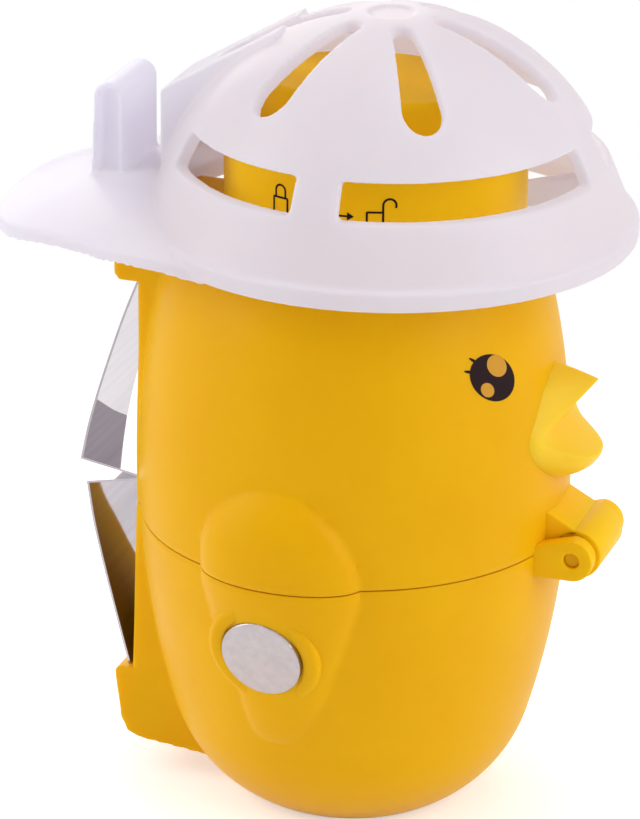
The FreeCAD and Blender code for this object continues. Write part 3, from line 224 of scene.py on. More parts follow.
def plastic(name, light, dark, rough, glow=0.0, glow_colour=(1.0, 0.45, 0.1), grain=0.05, gloss=0.3,
            milky=0.0, sheen=0.0):
    """Moulded plastic: cloudy colour, fine grain, and light that enters a little or passes a milky wall."""
    material, nodes, links, shader, place = new_material(name)
    base = blended(nodes, links, noise(nodes, links, place, CLOUD_SCALE), dark, light)
    links.new(base, shader.inputs["Base Color"])
    smudges = noise(nodes, links, place, SMUDGE_SCALE, 4.0)
    links.new(ranged(nodes, links, smudges, rough - 0.05, rough + 0.06), shader.inputs["Roughness"])
    bumped(nodes, links, shader, noise(nodes, links, place, GRAIN_SCALE, 2.0), grain, 0.0001)
    set_inputs(shader, Subsurface_Weight=glow, Subsurface_Radius=glow_colour, Subsurface_Scale=0.003,
               Specular_IOR_Level=gloss, Sheen_Weight=sheen, Sheen_Roughness=0.4)
    if milky:
        through_wall = nodes.new("ShaderNodeBsdfTranslucent")
        links.new(base, through_wall.inputs["Color"])
        blend = set_inputs(nodes.new("ShaderNodeMixShader"), Fac=milky)
        links.new(shader.outputs[0], blend.inputs[1])
        links.new(through_wall.outputs[0], blend.inputs[2])
        links.new(blend.outputs[0], nodes["Material Output"].inputs["Surface"])
    return material


chick_yellow = plastic("chick_yellow", srgb(243, 183, 3), srgb(239, 175, 1), 0.42, glow=0.2, gloss=0.1,
                       sheen=0.03)
# This yellow is lighter than the chick's. Part of that is the knob's own plastic and part is painted light,
# standing for the light that passes the milky cap onto the knob.
knob_yellow = plastic("knob_yellow", srgb(255, 200, 10), srgb(253, 194, 6), 0.42, glow=0.2, gloss=0.1)
beak_yellow = plastic("beak_yellow", srgb(255, 211, 56), srgb(252, 204, 44), 0.4, glow=0.3, gloss=0.15)
deck_yellow = plastic("deck_yellow", srgb(226, 166, 22), srgb(216, 156, 16), 0.55, grain=0.12)
print("plastics:", chick_yellow.name, knob_yellow.name, beak_yellow.name, deck_yellow.name)

# %% [markdown]
# The cap is milky: pale, slightly lilac in its shadows, and light glows through its thin wall. A
# subsurface weight softens it, and a share of translucent shader lets light pass onto the dial below.

# %% Milky plastic, ink and steel
cap_white = plastic("cap_white", srgb(243, 241, 248), srgb(240, 237, 245), 0.3, glow=0.2,
                    glow_colour=(1.0, 0.85, 0.85), grain=0.02, gloss=0.4, milky=0.45)
washer_white = plastic("washer_white", srgb(240, 238, 232), srgb(232, 229, 222), 0.5)
ink_brown = plastic("ink_brown", srgb(40, 18, 22), srgb(32, 14, 18), 0.45, grain=0.02, gloss=0.1)
ink_gold = plastic("ink_gold", srgb(216, 158, 58), srgb(208, 150, 50), 0.45, grain=0.02, gloss=0.1)


def metal(name, colour, rough, streak_stretch=(1.0, 1.0, 1.0), streak=0.0, spread=0.05):
    """Bare metal with fine streaks or tumbling marks."""
    material, nodes, links, shader, place = new_material(name)
    mapping = set_inputs(nodes.new("ShaderNodeMapping"), Scale=streak_stretch)
    links.new(place, mapping.inputs["Vector"])
    streaks = noise(nodes, links, mapping.outputs["Vector"], METAL_SCALE, 4.0)
    set_inputs(shader, Metallic=1.0)
    darker = tuple(value * 0.88 for value in colour[:3]) + (1.0,)
    links.new(blended(nodes, links, streaks, darker, colour), shader.inputs["Base Color"])
    links.new(ranged(nodes, links, streaks, rough, rough + spread), shader.inputs["Roughness"])
    bumped(nodes, links, shader, streaks, streak, 0.00005)
    return material


blade_steel = metal("blade_steel", srgb(190, 182, 188), 0.06, (1.0, 0.04, 1.0), 0.0, 0.004)
magnet_nickel = metal("magnet_nickel", srgb(184, 176, 178), 0.3, (1.0, 1.0, 1.0), 0.02, 0.04)
screw_zinc = metal("screw_zinc", srgb(196, 196, 200), 0.28, (1.0, 1.0, 1.0), 0.05)
plate_steel = metal("plate_steel", srgb(186, 186, 188), 0.35, (1.0, 0.1, 1.0), 0.08)
spring_wire = metal("spring_wire", srgb(176, 176, 182), 0.22, (1.0, 1.0, 0.2), 0.04)
print("metals:", blade_steel.name, magnet_nickel.name, screw_zinc.name, plate_steel.name)

# %% [markdown]
# ## The egg form
# Both halves come from one egg. Its section is three arcs: a round foot, a long flank and a tighter
# shoulder, between a flat base and a flat head. The formulas below give the radius at any height.

# %% Section of the egg
BASE_RADIUS, HEAD_RADIUS = 15.3, 23.0
FOOT_ARC, FLANK_ARC, SHOULDER_ARC = 21.6, 126.0, 29.3
FOOT_JOIN, SHOULDER_JOIN = 13.0, 74.5
FLANK_CENTRE = (30.8 - FLANK_ARC, 48.5)


def flank(height):
    return FLANK_CENTRE[0] + math.sqrt(FLANK_ARC ** 2 - (height - FLANK_CENTRE[1]) ** 2)


def arc_centre(start, end, radius):
    """Centre of the arc that turns left from start to end."""
    across, up = end[0] - start[0], end[1] - start[1]
    chord = math.hypot(across, up)
    rise = math.sqrt(radius ** 2 - chord ** 2 / 4)
    return (start[0] + end[0]) / 2 - up / chord * rise, (start[1] + end[1]) / 2 + across / chord * rise


foot_centre = arc_centre((BASE_RADIUS, 0), (flank(FOOT_JOIN), FOOT_JOIN), FOOT_ARC)
shoulder_centre = arc_centre((flank(SHOULDER_JOIN), SHOULDER_JOIN), (HEAD_RADIUS, HEAD_TOP), SHOULDER_ARC)


def egg_radius(height):
    if height < FOOT_JOIN:
        return foot_centre[0] + math.sqrt(FOOT_ARC ** 2 - (height - foot_centre[1]) ** 2)
    if height > SHOULDER_JOIN:
        return shoulder_centre[0] + math.sqrt(SHOULDER_ARC ** 2 - (height - shoulder_centre[1]) ** 2)
    return flank(height)


print("egg radius at foot, belly and shoulder:", [round(egg_radius(h), 2) for h in (6, 48.5, 80)])

# %% [markdown]
# ## Wings
# Each wing is a low relief across the seam: a round shoulder above, and a tip that narrows below. It
# is described on the unrolled surface by three curves against height: the middle line, the half width
# and how far it stands proud. Piecewise curves through a few named stations are easy to tune.


# %% Shape of a wing on the unrolled surface
def through(stations, height):
    """The value at a height, on the line through (height, value) stations."""
    number = bisect.bisect_left(stations, height, key=lambda station: station[0])
    if number == 0:
        return stations[0][1]
    if number == len(stations):
        return stations[-1][1]
    (low, first), (high, last) = stations[number - 1], stations[number]
    return first + (last - first) * (height - low) / (high - low)


def curve(*stations, steps=12):
    """Stations joined by a smooth curve that never overshoots them, as many short runs."""
    runs = [(b[1] - a[1]) / (b[0] - a[0]) for a, b in zip(stations, stations[1:])]
    slopes = [0 if a * b <= 0 else 2 * a * b / (a + b) for a, b in zip(runs, runs[1:])]
    slopes = [runs[0], *slopes, runs[-1]]
    points = []
    for number, ((low, first), (high, last)) in enumerate(zip(stations, stations[1:])):
        span = high - low
        for step in range(steps):
            t = step / steps
            value = ((2 * t ** 3 - 3 * t ** 2 + 1) * first + (t ** 3 - 2 * t ** 2 + t) * span * slopes[number]
                     + (3 * t ** 2 - 2 * t ** 3) * last + (t ** 3 - t ** 2) * span * slopes[number + 1])
            points.append((low + span * t, value))
    return points + [stations[-1]]


WING_MIDDLE = curve((16, -2.4), (19.5, -1.9), (25, -1.2), (42, -1.4), (50, -1.8), (56, -1.2))
WING_HALF = curve(
    (16.0, 0.0), (16.6, 2.2), (18.0, 3.8), (21, 5.2), (25, 6.7), (28, 7.7), (32, 9.2), (36.5, 10.7),
    (42, 12.0), (46, 11.7), (50, 10.1), (52.8, 7.6), (54.6, 5.0), (55.8, 2.4), (56.2, 0.0))
WING_PROUD = curve(
    (16.0, 0.0), (18, 0.7), (22, 1.15), (26, 1.3), (31, 1.6), (36, 2.3), (41, 3.0), (45, 3.3), (49, 3.0),
    (52, 2.3), (54.5, 1.2), (56.2, 0.0))


def wing_proud(angle, height, radius):
    """How far a wing stands out of the egg at an angle and a height."""
    for side in (-1, 1):
        turn = side * angle + math.pi / 2
        along = math.atan2(math.sin(turn), math.cos(turn)) * radius
        half = through(WING_HALF, height)
        if half < 0.05:
            continue
        share = abs(along - through(WING_MIDDLE, height)) / half
        if share < 1:
            return through(WING_PROUD, height) * (1 - share ** 2.4) ** 0.62
    return 0.0


print("wing proud at its middle, 45 mm up:", round(wing_proud(-math.pi / 2 - 0.05, 45, 30.7), 2))

# %% [markdown]
# ## The spine at the back
# A flat-backed block runs up the back and carries the blades. It ends in a lip above the upper blade
# and in a foot under the lower one. Here it is a radius too: for each height, how far back the block
# reaches, and for each direction, where its back or side face is met.

# %% Reach of the spine
SPINE_HALF, SPINE_BACK, FOOT_TOP = 9.75, 29.3, 16.2
UPPER_SPINE = ((SEAM_HIGH, SPINE_BACK), (76.09, SPINE_BACK), (76.1, 32.2), (76.8, 32.85), (77.4, 32.9),
               (80.6, 32.9), (83.3, 29.4), (HEAD_TOP, SPINE_BACK))
LOWER_SPINE = ((3.9, 18.0), (4.1, 20.0), (5.0, 28.6), (5.3, 30.0), (5.9, 31.4), (8.0, 32.4), (14.4, 33.2),
               (15.4, 33.25), (15.9, 32.9), (16.15, 32.3), (16.16, 30.5), (SEAM_LOW, 29.75))


def spine_reach(angle, height, back):
    """Distance from the axis to the spine's surface in a direction."""
    cosine, sine = abs(math.cos(angle)), abs(math.sin(angle))
    if math.cos(angle) > -0.5:
        return 0.0
    flat, side = back / cosine, SPINE_HALF / max(sine, 1e-6)
    return soft_min(flat, side, 0.7)


def soft_min(first, second, round_size):
    share = max(round_size - abs(first - second), 0) / round_size
    return min(first, second) - share * share * round_size / 4


def soft_max(first, second, round_size):
    return -soft_min(-first, -second, round_size)


print("spine reach straight back, 60 mm up:", round(spine_reach(math.pi, 60, through(UPPER_SPINE, 60)), 2))

# %% [markdown]
# ## Spinning the halves
# A chain of vertices, one for each ring, is spun round the axis with `bmesh.ops.spin`. That gives an
# even tube of quads. Each vertex is then moved out to the radius that the formulas give for its own
# direction and height, so the egg, the wing and the spine are one smooth skin with no cutting. The
# columns are crowded where the spine's corners are, and the rings where its lip is.


# %% Columns and rings
def column_angle(turn):
    """Crowd an even turn of 0 to 1 towards the spine's two corners."""
    stations = ((0, 0), (0.32, 146), (0.47, 167), (0.5, 180), (0.53, 193), (0.68, 214), (1, 360))
    return math.radians(through(stations, turn))


def spun(profile, steps=192, x=0.0):
    """Spin a chain of (radius, height) points round an upright axis at x."""
    shape = bmesh.new()
    chain = [shape.verts.new((radius + x, 0, height)) for radius, height in profile]
    edges = [shape.edges.new(pair) for pair in zip(chain, chain[1:])]
    bmesh.ops.spin(shape, geom=chain + edges, cent=(x, 0, 0), axis=(0, 0, 1), dvec=(0, 0, 0),
                   angle=math.tau, steps=steps, use_merge=True)
    bmesh.ops.remove_doubles(shape, verts=shape.verts, dist=1e-4)
    return shape


def tube(rings, columns):
    """A tube of quads with one ring for each whole height."""
    return spun([(1, ring) for ring in range(rings)], columns)


def spaced(low, high, step):
    count = max(1, round((high - low) / step))
    return [low + (high - low) * number / count for number in range(count)]


def half_shell(rings, outside, columns=360):
    """Spin a half and move each vertex to its place.

    rings holds (height, share, inset): share scales the radius for the flat ends, and inset is
    how far the ring lies inside the outer skin.
    """
    shape = tube(len(rings), columns)
    for vertex in shape.verts:
        height, share, inset = rings[round(vertex.co.z)]
        turn = math.atan2(vertex.co.y, vertex.co.x) / math.tau % 1
        angle = column_angle(turn)
        radius = (outside(angle, height) - inset) * share
        vertex.co = (radius * math.cos(angle), radius * math.sin(angle), height)
    return shape


def flattened(radius, angle, back):
    """The egg's radius, cut flat where the spine lies on it."""
    if math.cos(angle) < -0.5 and abs(radius * math.sin(angle)) < SPINE_HALF:
        return min(radius, back / abs(math.cos(angle)))
    return radius


def upper_outside(angle, height):
    radius = flattened(egg_radius(height), angle, SPINE_BACK)
    radius += wing_proud(angle, height, radius)
    return soft_max(radius, spine_reach(angle, height, through(UPPER_SPINE, height)), 1.6)


def lower_outside(angle, height):
    back = through(LOWER_SPINE, height)
    radius = egg_radius(height)
    if height > FOOT_TOP:
        radius = flattened(radius, angle, back)
    radius += wing_proud(angle, height, radius)
    if height < LOWER_SPINE[0][0]:
        return radius
    return soft_max(radius, spine_reach(angle, height, back), 0.5)


print("columns crowd to", round(math.degrees(column_angle(0.4))), "degrees at 0.4 of a turn")

# %% [markdown]
# The upper half: rings from the inner wall at the seam, over the rim, up the outside and across the
# flat head. The wall is a real wall, so that the opened chick shows a rim and the deck inside it.

# %% Upper half
WALL = 2.2


def rings_at(heights, inset=0.0):
    """Full rings at heights, inset from the outer skin."""
    return [(height, 1.0, inset) for height in heights]


upper_rings = [(HEAD_TOP - 2.6, 0.0, WALL), (HEAD_TOP - 2.6, 0.5, WALL)]
upper_rings += rings_at([83.2, 80, 76, 70, 62, 54, 48, SEAM_HIGH + 0.5], WALL)
upper_rings += [(SEAM_HIGH, 1.0, WALL - 0.2), (SEAM_HIGH, 1.0, 0.16), (SEAM_HIGH + 0.1, 1.0, 0.1)]
upper_rings += rings_at(spaced(SEAM_HIGH + 0.35, 75.9, 0.55) + [75.9, 76.05, 76.1, 76.25, 76.5, 76.8, 77.2])
upper_rings += rings_at(spaced(77.6, 85.4, 0.4) + [85.4])
upper_rings += [(85.7, 1.0, 0.08), (85.9, 1.0, 0.3), (HEAD_TOP, 1.0, 0.7)]
upper_rings += [(HEAD_TOP, share, 0.7) for share in (0.8, 0.5, 0.2, 0.0)]
finish_piece("upper_skin", half_shell(upper_rings, upper_outside), "upper_half", chick_yellow,
             ("upper_shell",), smooth_angle=40)

# %% [markdown]
# The lower half: a flat base, the outside, the rim and the inner wall. Its rings are close together
# where the spine's foot turns.

# %% Lower half
lower_rings = [(0.0, share, 0.0) for share in (0.0, 0.4, 0.8, 0.97)]
lower_rings += rings_at([0.02] + spaced(0.25, 3.8, 0.4))
lower_rings += rings_at([3.85, 3.95, 4.1, 4.3, 4.55, 4.8, 5.0, 5.15, 5.3, 5.6, 5.9, 6.3, 6.9, 7.5])
lower_rings += rings_at(spaced(8.0, 15.4, 0.5) + [15.4, 15.7, 15.9, 16.05, 16.15, 16.16, 16.3])
lower_rings += rings_at(spaced(16.6, SEAM_LOW - 0.35, 0.55) + [SEAM_LOW - 0.35])
lower_rings += [(SEAM_LOW - 0.1, 1.0, 0.1), (SEAM_LOW, 1.0, 0.16), (SEAM_LOW, 1.0, WALL - 0.2)]
lower_rings += rings_at([SEAM_LOW - 0.5, 36, 30, 24, 18, 12, 8, 5], WALL)
lower_rings += [(2.4, 0.85, WALL), (2.4, 0.0, WALL)]
finish_piece("lower_skin", half_shell(lower_rings, lower_outside), "lower_half", chick_yellow,
             ("lower_shell",), smooth_angle=40)

# %% [markdown]
# ## Magnets
# A plain nickel disc is glued into each wing, inside a raised ring. The disc is a cylinder with a small
# bevel and the ring is spun from its section. Both are made upright and then turned onto the wing's own
# axis, which leans down a little.

# %% Two magnets in their rings
MAGNET_AXIS = Vector((-0.0930, -0.9658, -0.2419)).normalized()
MAGNET_FACE = Vector((-3.018, -31.337, 31.055))
MAGNET_RADIUS, MAGNET_DEPTH = 6.0, 3.0


def cylinder(radius, depth, soft, segments):
    """An upright cylinder round the origin, with softened rims."""
    shape = bmesh.new()
    bmesh.ops.create_cone(shape, cap_ends=True, segments=segments, radius1=radius, radius2=radius,
                          depth=depth)
    rims = [edge for edge in shape.edges if abs(edge.verts[0].co.z - edge.verts[1].co.z) < 1e-6]
    return bevelled(shape, rims, soft)


def magnet_disc(side):
    """A disc whose upper face is the magnet's bare face."""
    shape = cylinder(MAGNET_RADIUS, MAGNET_DEPTH, 0.22, 128)
    bmesh.ops.translate(shape, vec=(0, 0, -MAGNET_DEPTH / 2), verts=shape.verts)
    return on_wing(shape, side)


def on_wing(shape, side):
    """Turn an upright shape, whose top is the magnet's face, onto a wing: side is 1 for the right one."""
    axis = Vector((MAGNET_AXIS.x, MAGNET_AXIS.y * side, MAGNET_AXIS.z))
    face = Vector((MAGNET_FACE.x, MAGNET_FACE.y * side, MAGNET_FACE.z))
    turn = Vector((0, 0, 1)).rotation_difference(axis).to_matrix().to_4x4()
    bmesh.ops.transform(shape, matrix=Matrix.Translation(face) @ turn, verts=shape.verts)
    return shape


def arc_points(centre, radius, start, end, count=6):
    """Points on an arc, from one angle to another in degrees."""
    angles = [math.radians(start + (end - start) * number / count) for number in range(count + 1)]
    return [(centre[0] + radius * math.cos(a), centre[1] + radius * math.sin(a)) for a in angles]


RING_TOP = -0.6
collar_section = [(0, -5.4), (9.2, -5.4), (8.75, -3.0), (8.45, -2.1)]
collar_section += arc_points((7.5, RING_TOP - 0.95), 0.95, 0, 90) + [(6.5, RING_TOP)]
collar_section += arc_points((6.5, RING_TOP - 0.35), 0.35, 90, 180, 4) + [(6.15, -3.2), (0, -3.2)]
for side, word in ((1, "right"), (-1, "left")):
    finish_piece(word + "_magnet", magnet_disc(side), "lower_half", magnet_nickel,
                 ("magnet_" + word,), 30)
    finish_piece(word + "_ring", on_wing(spun(collar_section), side), "lower_half", chick_yellow,
                 smooth_angle=50)

# %% [markdown]
# ## Hinge at the chest
# Two ears of the lower half hold a pin, and a knuckle of the upper half turns between them. Each is a
# flat outline with its corners rounded by a vertex bevel, extruded across and softened at its edges.


# %% A slab from an outline
def drawn_out(shape, extruded, across):
    """Move the new end of an extrusion and set the normals."""
    moved = [item for item in extruded["geom"] if isinstance(item, bmesh.types.BMVert)]
    bmesh.ops.translate(shape, vec=across, verts=moved)
    bmesh.ops.recalc_face_normals(shape, faces=shape.faces)


def raised(shape, across, soft):
    """Extrude a flat shape along a vector, and soften the rims of both ends."""
    drawn_out(shape, bmesh.ops.extrude_face_region(shape, geom=list(shape.faces)), across)
    if soft:
        rims = [edge for edge in shape.edges if edge.is_manifold and edge.calc_face_angle(0) > 1.2
                and abs((edge.verts[0].co - edge.verts[1].co).dot(across)) < 1e-6]
        bevelled(shape, rims, soft)
    return shape


def slab(corners, low, high, soft=0.0, rounds=()):
    """An outline in the plane of x and z, with some corners rounded, extruded from y = low to y = high."""
    shape = bmesh.new()
    points = [shape.verts.new((x, low, z)) for x, z in corners]
    shape.faces.new(points)
    for point, radius in zip(points, rounds):
        if radius:
            bevelled(shape, [point], radius, 10, "VERTICES")
    return raised(shape, Vector((0, high - low, 0)), soft)


def joined(*shapes):
    """One bmesh with the geometry of several."""
    whole = bmesh.new()
    for shape in shapes:
        part = mesh_of("part", shape)
        whole.from_mesh(part)
        bpy.data.meshes.remove(part)
    return whole


def at_pin(shape, y):
    """Lay an upright shape along the pin, with its origin at y."""
    place = Matrix.Translation((PIN_X, y, PIN_Z)) @ Matrix.Rotation(math.pi / 2, 4, "X")
    bmesh.ops.transform(shape, matrix=place, verts=shape.verts)
    return shape


# %% Ears and knuckle
EAR_RADIUS, EAR_OUTER, EAR_INNER, EAR_REACH, BORE_RADIUS = 3.05, 8.4, 6.0, 6.6, 1.15
KNUCKLE_RADIUS, KNUCKLE_HALF, WEB_BACK = 3.6, 5.7, 27.8


def ear(side):
    """A plate with a round end and a flat bottom, and a hole for the pin's end."""
    low, high = sorted((side * EAR_INNER, side * EAR_OUTER))
    shape = bmesh.new()
    ring = bmesh.ops.create_circle(shape, cap_ends=False, segments=64, radius=EAR_RADIUS)["verts"]
    bmesh.ops.create_circle(shape, cap_ends=False, segments=64, radius=BORE_RADIUS)
    bmesh.ops.bridge_loops(shape, edges=list(shape.edges))
    for point in ring:
        if point.co.x < -0.01:
            point.co.x, point.co.y = -EAR_REACH, (1.25 if point.co.y > 0 else -EAR_RADIUS)
    bmesh.ops.remove_doubles(shape, verts=shape.verts, dist=0.01)
    return at_pin(raised(shape, Vector((0, 0, high - low)), 0.22), high)


# The ears and the knuckle are the chick's own plastic. Their lighter yellow is painted light for the key lamp
# that falls on them from the front right.
finish_piece("hinge_ears", joined(ear(-1), ear(1)), "lower_half", knob_yellow,
             smooth_angle=40)
web = slab(((WEB_BACK, SEAM_HIGH), (PIN_X, SEAM_HIGH - 0.4), (PIN_X + 1.6, PIN_Z + 2.6), (WEB_BACK, 49.3)),
           -KNUCKLE_HALF, KNUCKLE_HALF, 0.25, (0, 0, 0.8, 0))
knuckle = at_pin(cylinder(KNUCKLE_RADIUS, 2 * KNUCKLE_HALF, 0.25, 64), 0)
finish_piece("hinge_knuckle", joined(web, knuckle), "upper_half", knob_yellow,
             smooth_angle=40)

# %% [markdown]
# ## Blades
# Each blade is one strip of polished sheet, folded to a sharp edge. Both of its ends go into the
# plastic: under the lip and into the spine. The strip is a chain of points along its path, drawn across
# the spine with an edge extrusion and given its thickness by a Solidify modifier. The outer face bows
# out a little, as sheet does when its ends are pressed in.

# %% Two folded strips
BLADE_HALF, SHEET = 8.7, 0.32
UPPER_BOW = curve(
    (47.6, -38.5), (52.3, -37.5), (57.4, -36.1), (64.0, -34.0), (70.1, -31.9), (75.7, -29.7), steps=5)
LOWER_BOW = curve(
    (15.2, -31.1), (21.3, -32.7), (27.2, -34.2), (32.8, -35.55), (38.6, -36.8), (44.0, -37.6), steps=5)
upper_path = [(-27.8, 45.7), (-29.3, 46.0)] + [(x, z) for z, x in UPPER_BOW] + [(-29.2, 76.6)]
lower_path = [(-28.0, 40.4), (-29.95, 40.7), (-29.95, 45.5)] + [(x, z) for z, x in reversed(LOWER_BOW)]


def strip(name, path, body, stands_for):
    """A bent sheet along a path of (x, z), drawn across the spine."""
    shape = bmesh.new()
    points = [shape.verts.new((x, -BLADE_HALF, z)) for x, z in path]
    edges = [shape.edges.new(pair) for pair in zip(points, points[1:])]
    drawn_out(shape, bmesh.ops.extrude_edge_only(shape, edges=edges), (0, BLADE_HALF * 2, 0))
    solid = ("SOLIDIFY", {"thickness": SHEET, "offset": 0.0, "use_even_offset": True})
    sheet = modified_mesh(name, mesh_of(name, shape), solid)
    place_mesh(name, sheet, body, blade_steel, stands_for, 20)


strip("upper_blade_strip", upper_path, "upper_half", ("upper_blade", "upper_blade_screws"))
strip("lower_blade_strip", lower_path, "lower_half", ("lower_blade", "lower_blade_screws"))

# %% [markdown]
# ## Beak
# The open beak is an insert in a lighter yellow. Its skin runs from the outline on the chest to the
# lips, and turns in there to the back of the mouth. So it is a tube: rings that pass from the root
# over the lips to a flat slit. Each ring is set by the same share of the way round, from the upper tip
# down to the lower rim, and both sides are mirror images.

# %% Lines of the beak
def smooth_line(*stations):
    """A line through stations, each a share and then its coordinates, as one curve for each coordinate."""
    return [curve(*[(station[0], station[column]) for station in stations])
            for column in range(1, len(stations[0]))]


BEAK_ROOT = smooth_line(
    (0, 0.0, 68.4), (0.1, 3.1, 67.1), (0.18, 5.1, 65.9), (0.27, 6.8, 64.2), (0.36, 8.4, 62.2),
    (0.44, 9.6, 60.6), (0.5, 10.0, 59.2), (0.56, 9.7, 57.7), (0.64, 8.6, 56.1), (0.75, 6.3, 54.2),
    (0.87, 3.2, 52.3), (1, 0.0, 51.3))
BEAK_LIP = smooth_line(
    (0, 35.8, 0.0, 66.7), (0.08, 35.2, 0.75, 66.0), (0.2, 33.7, 2.3, 64.2), (0.3, 32.4, 3.8, 62.7),
    (0.4, 31.1, 5.7, 61.2), (0.46, 30.4, 7.2, 60.4), (0.5, 30.15, 8.0, 59.8), (0.54, 30.4, 7.9, 59.0),
    (0.62, 31.4, 7.0, 58.1), (0.7, 32.8, 6.1, 57.3), (0.8, 34.7, 4.6, 56.4), (0.9, 36.0, 2.5, 55.8),
    (1, 36.4, 0.0, 55.6))
BEAK_THROAT = smooth_line((0, 0.0), (0.25, 3.4), (0.4, 5.8), (0.5, 7.2), (0.6, 5.8), (0.75, 3.4), (1, 0.0))
BEAK_BULGE = smooth_line(
    (0, -0.3, 0.0, 0.45), (0.25, 0.1, 0.1, 0.2), (0.5, 0.6, 0.5, 0.0), (0.7, 1.0, 0.6, -0.5),
    (0.85, 1.6, 0.4, -0.8), (1, 1.9, 0.0, -0.9))


def line_at(line, share):
    """A point on a smooth line at a share of its length."""
    return Vector([through(column, share) for column in line])


def beak_point(share, ring):
    """A point of the beak's skin: ring 0 is the root, 1 the lip and 2 the throat."""
    root = line_at(BEAK_ROOT, share)
    chest = egg_radius(root[1])
    root = Vector((math.sqrt(chest ** 2 - root[0] ** 2) - 0.25, root[0], root[1]))
    lip = line_at(BEAK_LIP, share)
    if ring <= 1:
        control = (root + lip) / 2 + line_at(BEAK_BULGE, share)
        return root * (1 - ring) ** 2 + control * 2 * ring * (1 - ring) + lip * ring ** 2
    inner = ring - 1
    throat = Vector((30.0, through(BEAK_THROAT[0], share), 60.2))
    control = (lip + throat) / 2 + Vector((0, 0, 0.5 - share))
    return lip * (1 - inner) ** 2 + control * 2 * inner * (1 - inner) + throat * inner ** 2


# %% Skin of the beak
BEAK_RINGS = [0, 0.02] + [number / 14 for number in range(1, 13)]
BEAK_RINGS += [0.9, 0.94, 0.965, 0.985, 1.0, 1.015, 1.035, 1.06, 1.1]
BEAK_RINGS += [1 + number / 10 for number in range(2, 10)] + [2.0]
beak_shape = tube(len(BEAK_RINGS) + 1, 160)
for vertex in beak_shape.verts:
    turn = math.atan2(vertex.co.y, vertex.co.x) / math.tau % 1
    side = 1 if turn <= 0.5 else -1
    share = turn * 2 if turn <= 0.5 else 2 - turn * 2
    level = round(vertex.co.z)
    if level == 0:
        point = beak_point(share, 0) + Vector((-2.0, 0, 0))
    else:
        point = beak_point(share, BEAK_RINGS[level - 1])
    vertex.co = (point.x, point.y * side, point.z)
bmesh.ops.remove_doubles(beak_shape, verts=beak_shape.verts, dist=0.004)
bmesh.ops.holes_fill(beak_shape, edges=[edge for edge in beak_shape.edges if edge.is_boundary], sides=0)
for _ in range(6):
    soft = [vertex for vertex in beak_shape.verts if vertex.co.x > 30.4]
    bmesh.ops.smooth_vert(beak_shape, verts=soft, factor=0.5, use_axis_x=True, use_axis_y=True,
                          use_axis_z=True)
finish_piece("open_beak", beak_shape, "upper_half", beak_yellow, ("beak",), smooth_angle=70)

# %% [markdown]
# ## Knob
# The knob has two tiers: a round dial, spun from its profile, and an oval grip on top, which is a
# circle stretched to an ellipse, extruded and softened with a bevel.

# %% Dial and grip
GRIP_LONG, GRIP_WIDE, KNOB_SOFT = 16.8, 12.2, 1.2


def drum(radius, low, high, soft):
    """A closed drum on the knob's axis, with rounded rims."""
    profile = [(0, low), (radius - soft * 2, low)]
    profile += arc_points((radius - soft / 2, low + soft / 2), soft / 2, -90, 0, 3)
    profile += arc_points((radius - soft, high - soft), soft, 0, 90)
    return spun(profile + [(radius * 0.5, high), (0, high)], x=KNOB_X)


def oval(low, high, soft):
    """The oval grip, with a rounded upper rim."""
    shape = bmesh.new()
    bmesh.ops.create_cone(shape, cap_ends=True, segments=192, radius1=1, radius2=1, depth=high - low)
    bmesh.ops.scale(shape, vec=(GRIP_LONG, GRIP_WIDE, 1), verts=shape.verts)
    bmesh.ops.translate(shape, vec=(KNOB_X, 0, (low + high) / 2), verts=shape.verts)
    top = [edge for edge in shape.edges if min(vertex.co.z for vertex in edge.verts) > high - 0.01]
    return bevelled(shape, top, soft, 6)


# The knob's lighter yellow is partly its own colour and partly painted light from the cap above.
knob_shape = joined(drum(DIAL_RADIUS, DIAL_BOTTOM, DIAL_TOP, KNOB_SOFT),
                    oval(DIAL_TOP - 1, GRIP_TOP, KNOB_SOFT))
finish_piece("lock_knob_skin", knob_shape, "lock", knob_yellow, ("lock_knob", "knob_grip"),
             smooth_angle=40)

# %% [markdown]
# ## Printed marks on the dial
# Two padlocks and an arrow are printed on the dial's side. They are drawn flat, as ribbons with the
# dial's arc length across and its height up, and then wrapped a hair above the yellow.


# %% Ribbons wrapped on the dial
def ribbon(points, width=0.3, closed=False):
    """A flat ribbon along points, as (across, up)."""
    shape = bmesh.new()
    count = len(points)
    sides = []
    for number, (x, z) in enumerate(points):
        before = points[(number - 1) % count] if closed or number else points[0]
        after = points[(number + 1) % count] if closed or number < count - 1 else points[-1]
        along = Vector((after[0] - before[0], after[1] - before[1])).normalized()
        across = Vector((-along.y, along.x)) * width / 2
        sides.append((shape.verts.new((x + across.x, 0, z + across.y)),
                      shape.verts.new((x - across.x, 0, z - across.y))))
    pairs = list(zip(sides, sides[1:])) + ([(sides[-1], sides[0])] if closed else [])
    for (a, b), (c, d) in pairs:
        shape.faces.new((a, b, d, c))
    return shape


def wrapped(shape, radius, middle_x, lift=0.03):
    """Wrap a flat shape onto the dial: x is arc length from the right side, z is height."""
    for vertex in shape.verts:
        angle = vertex.co.x / radius - math.pi / 2
        reach = radius + lift
        vertex.co = (middle_x + reach * math.cos(angle), reach * math.sin(angle), vertex.co.z)
    return shape


def rod_points(start, end, count=6):
    """Points along a straight run."""
    return [(start[0] + (end[0] - start[0]) * n / count, start[1] + (end[1] - start[1]) * n / count)
            for n in range(count + 1)]


def box_points(left, low, right, high, step=0.05):
    """Points round a padlock's body; a small step keeps those at the corners apart."""
    sides = (((left, low), (left, high)), ((left + step, high), (right, high)),
             ((right, high - step), (right, low)), ((right - step, low), (left + step, low)))
    return [point for start, end in sides for point in rod_points(start, end)]


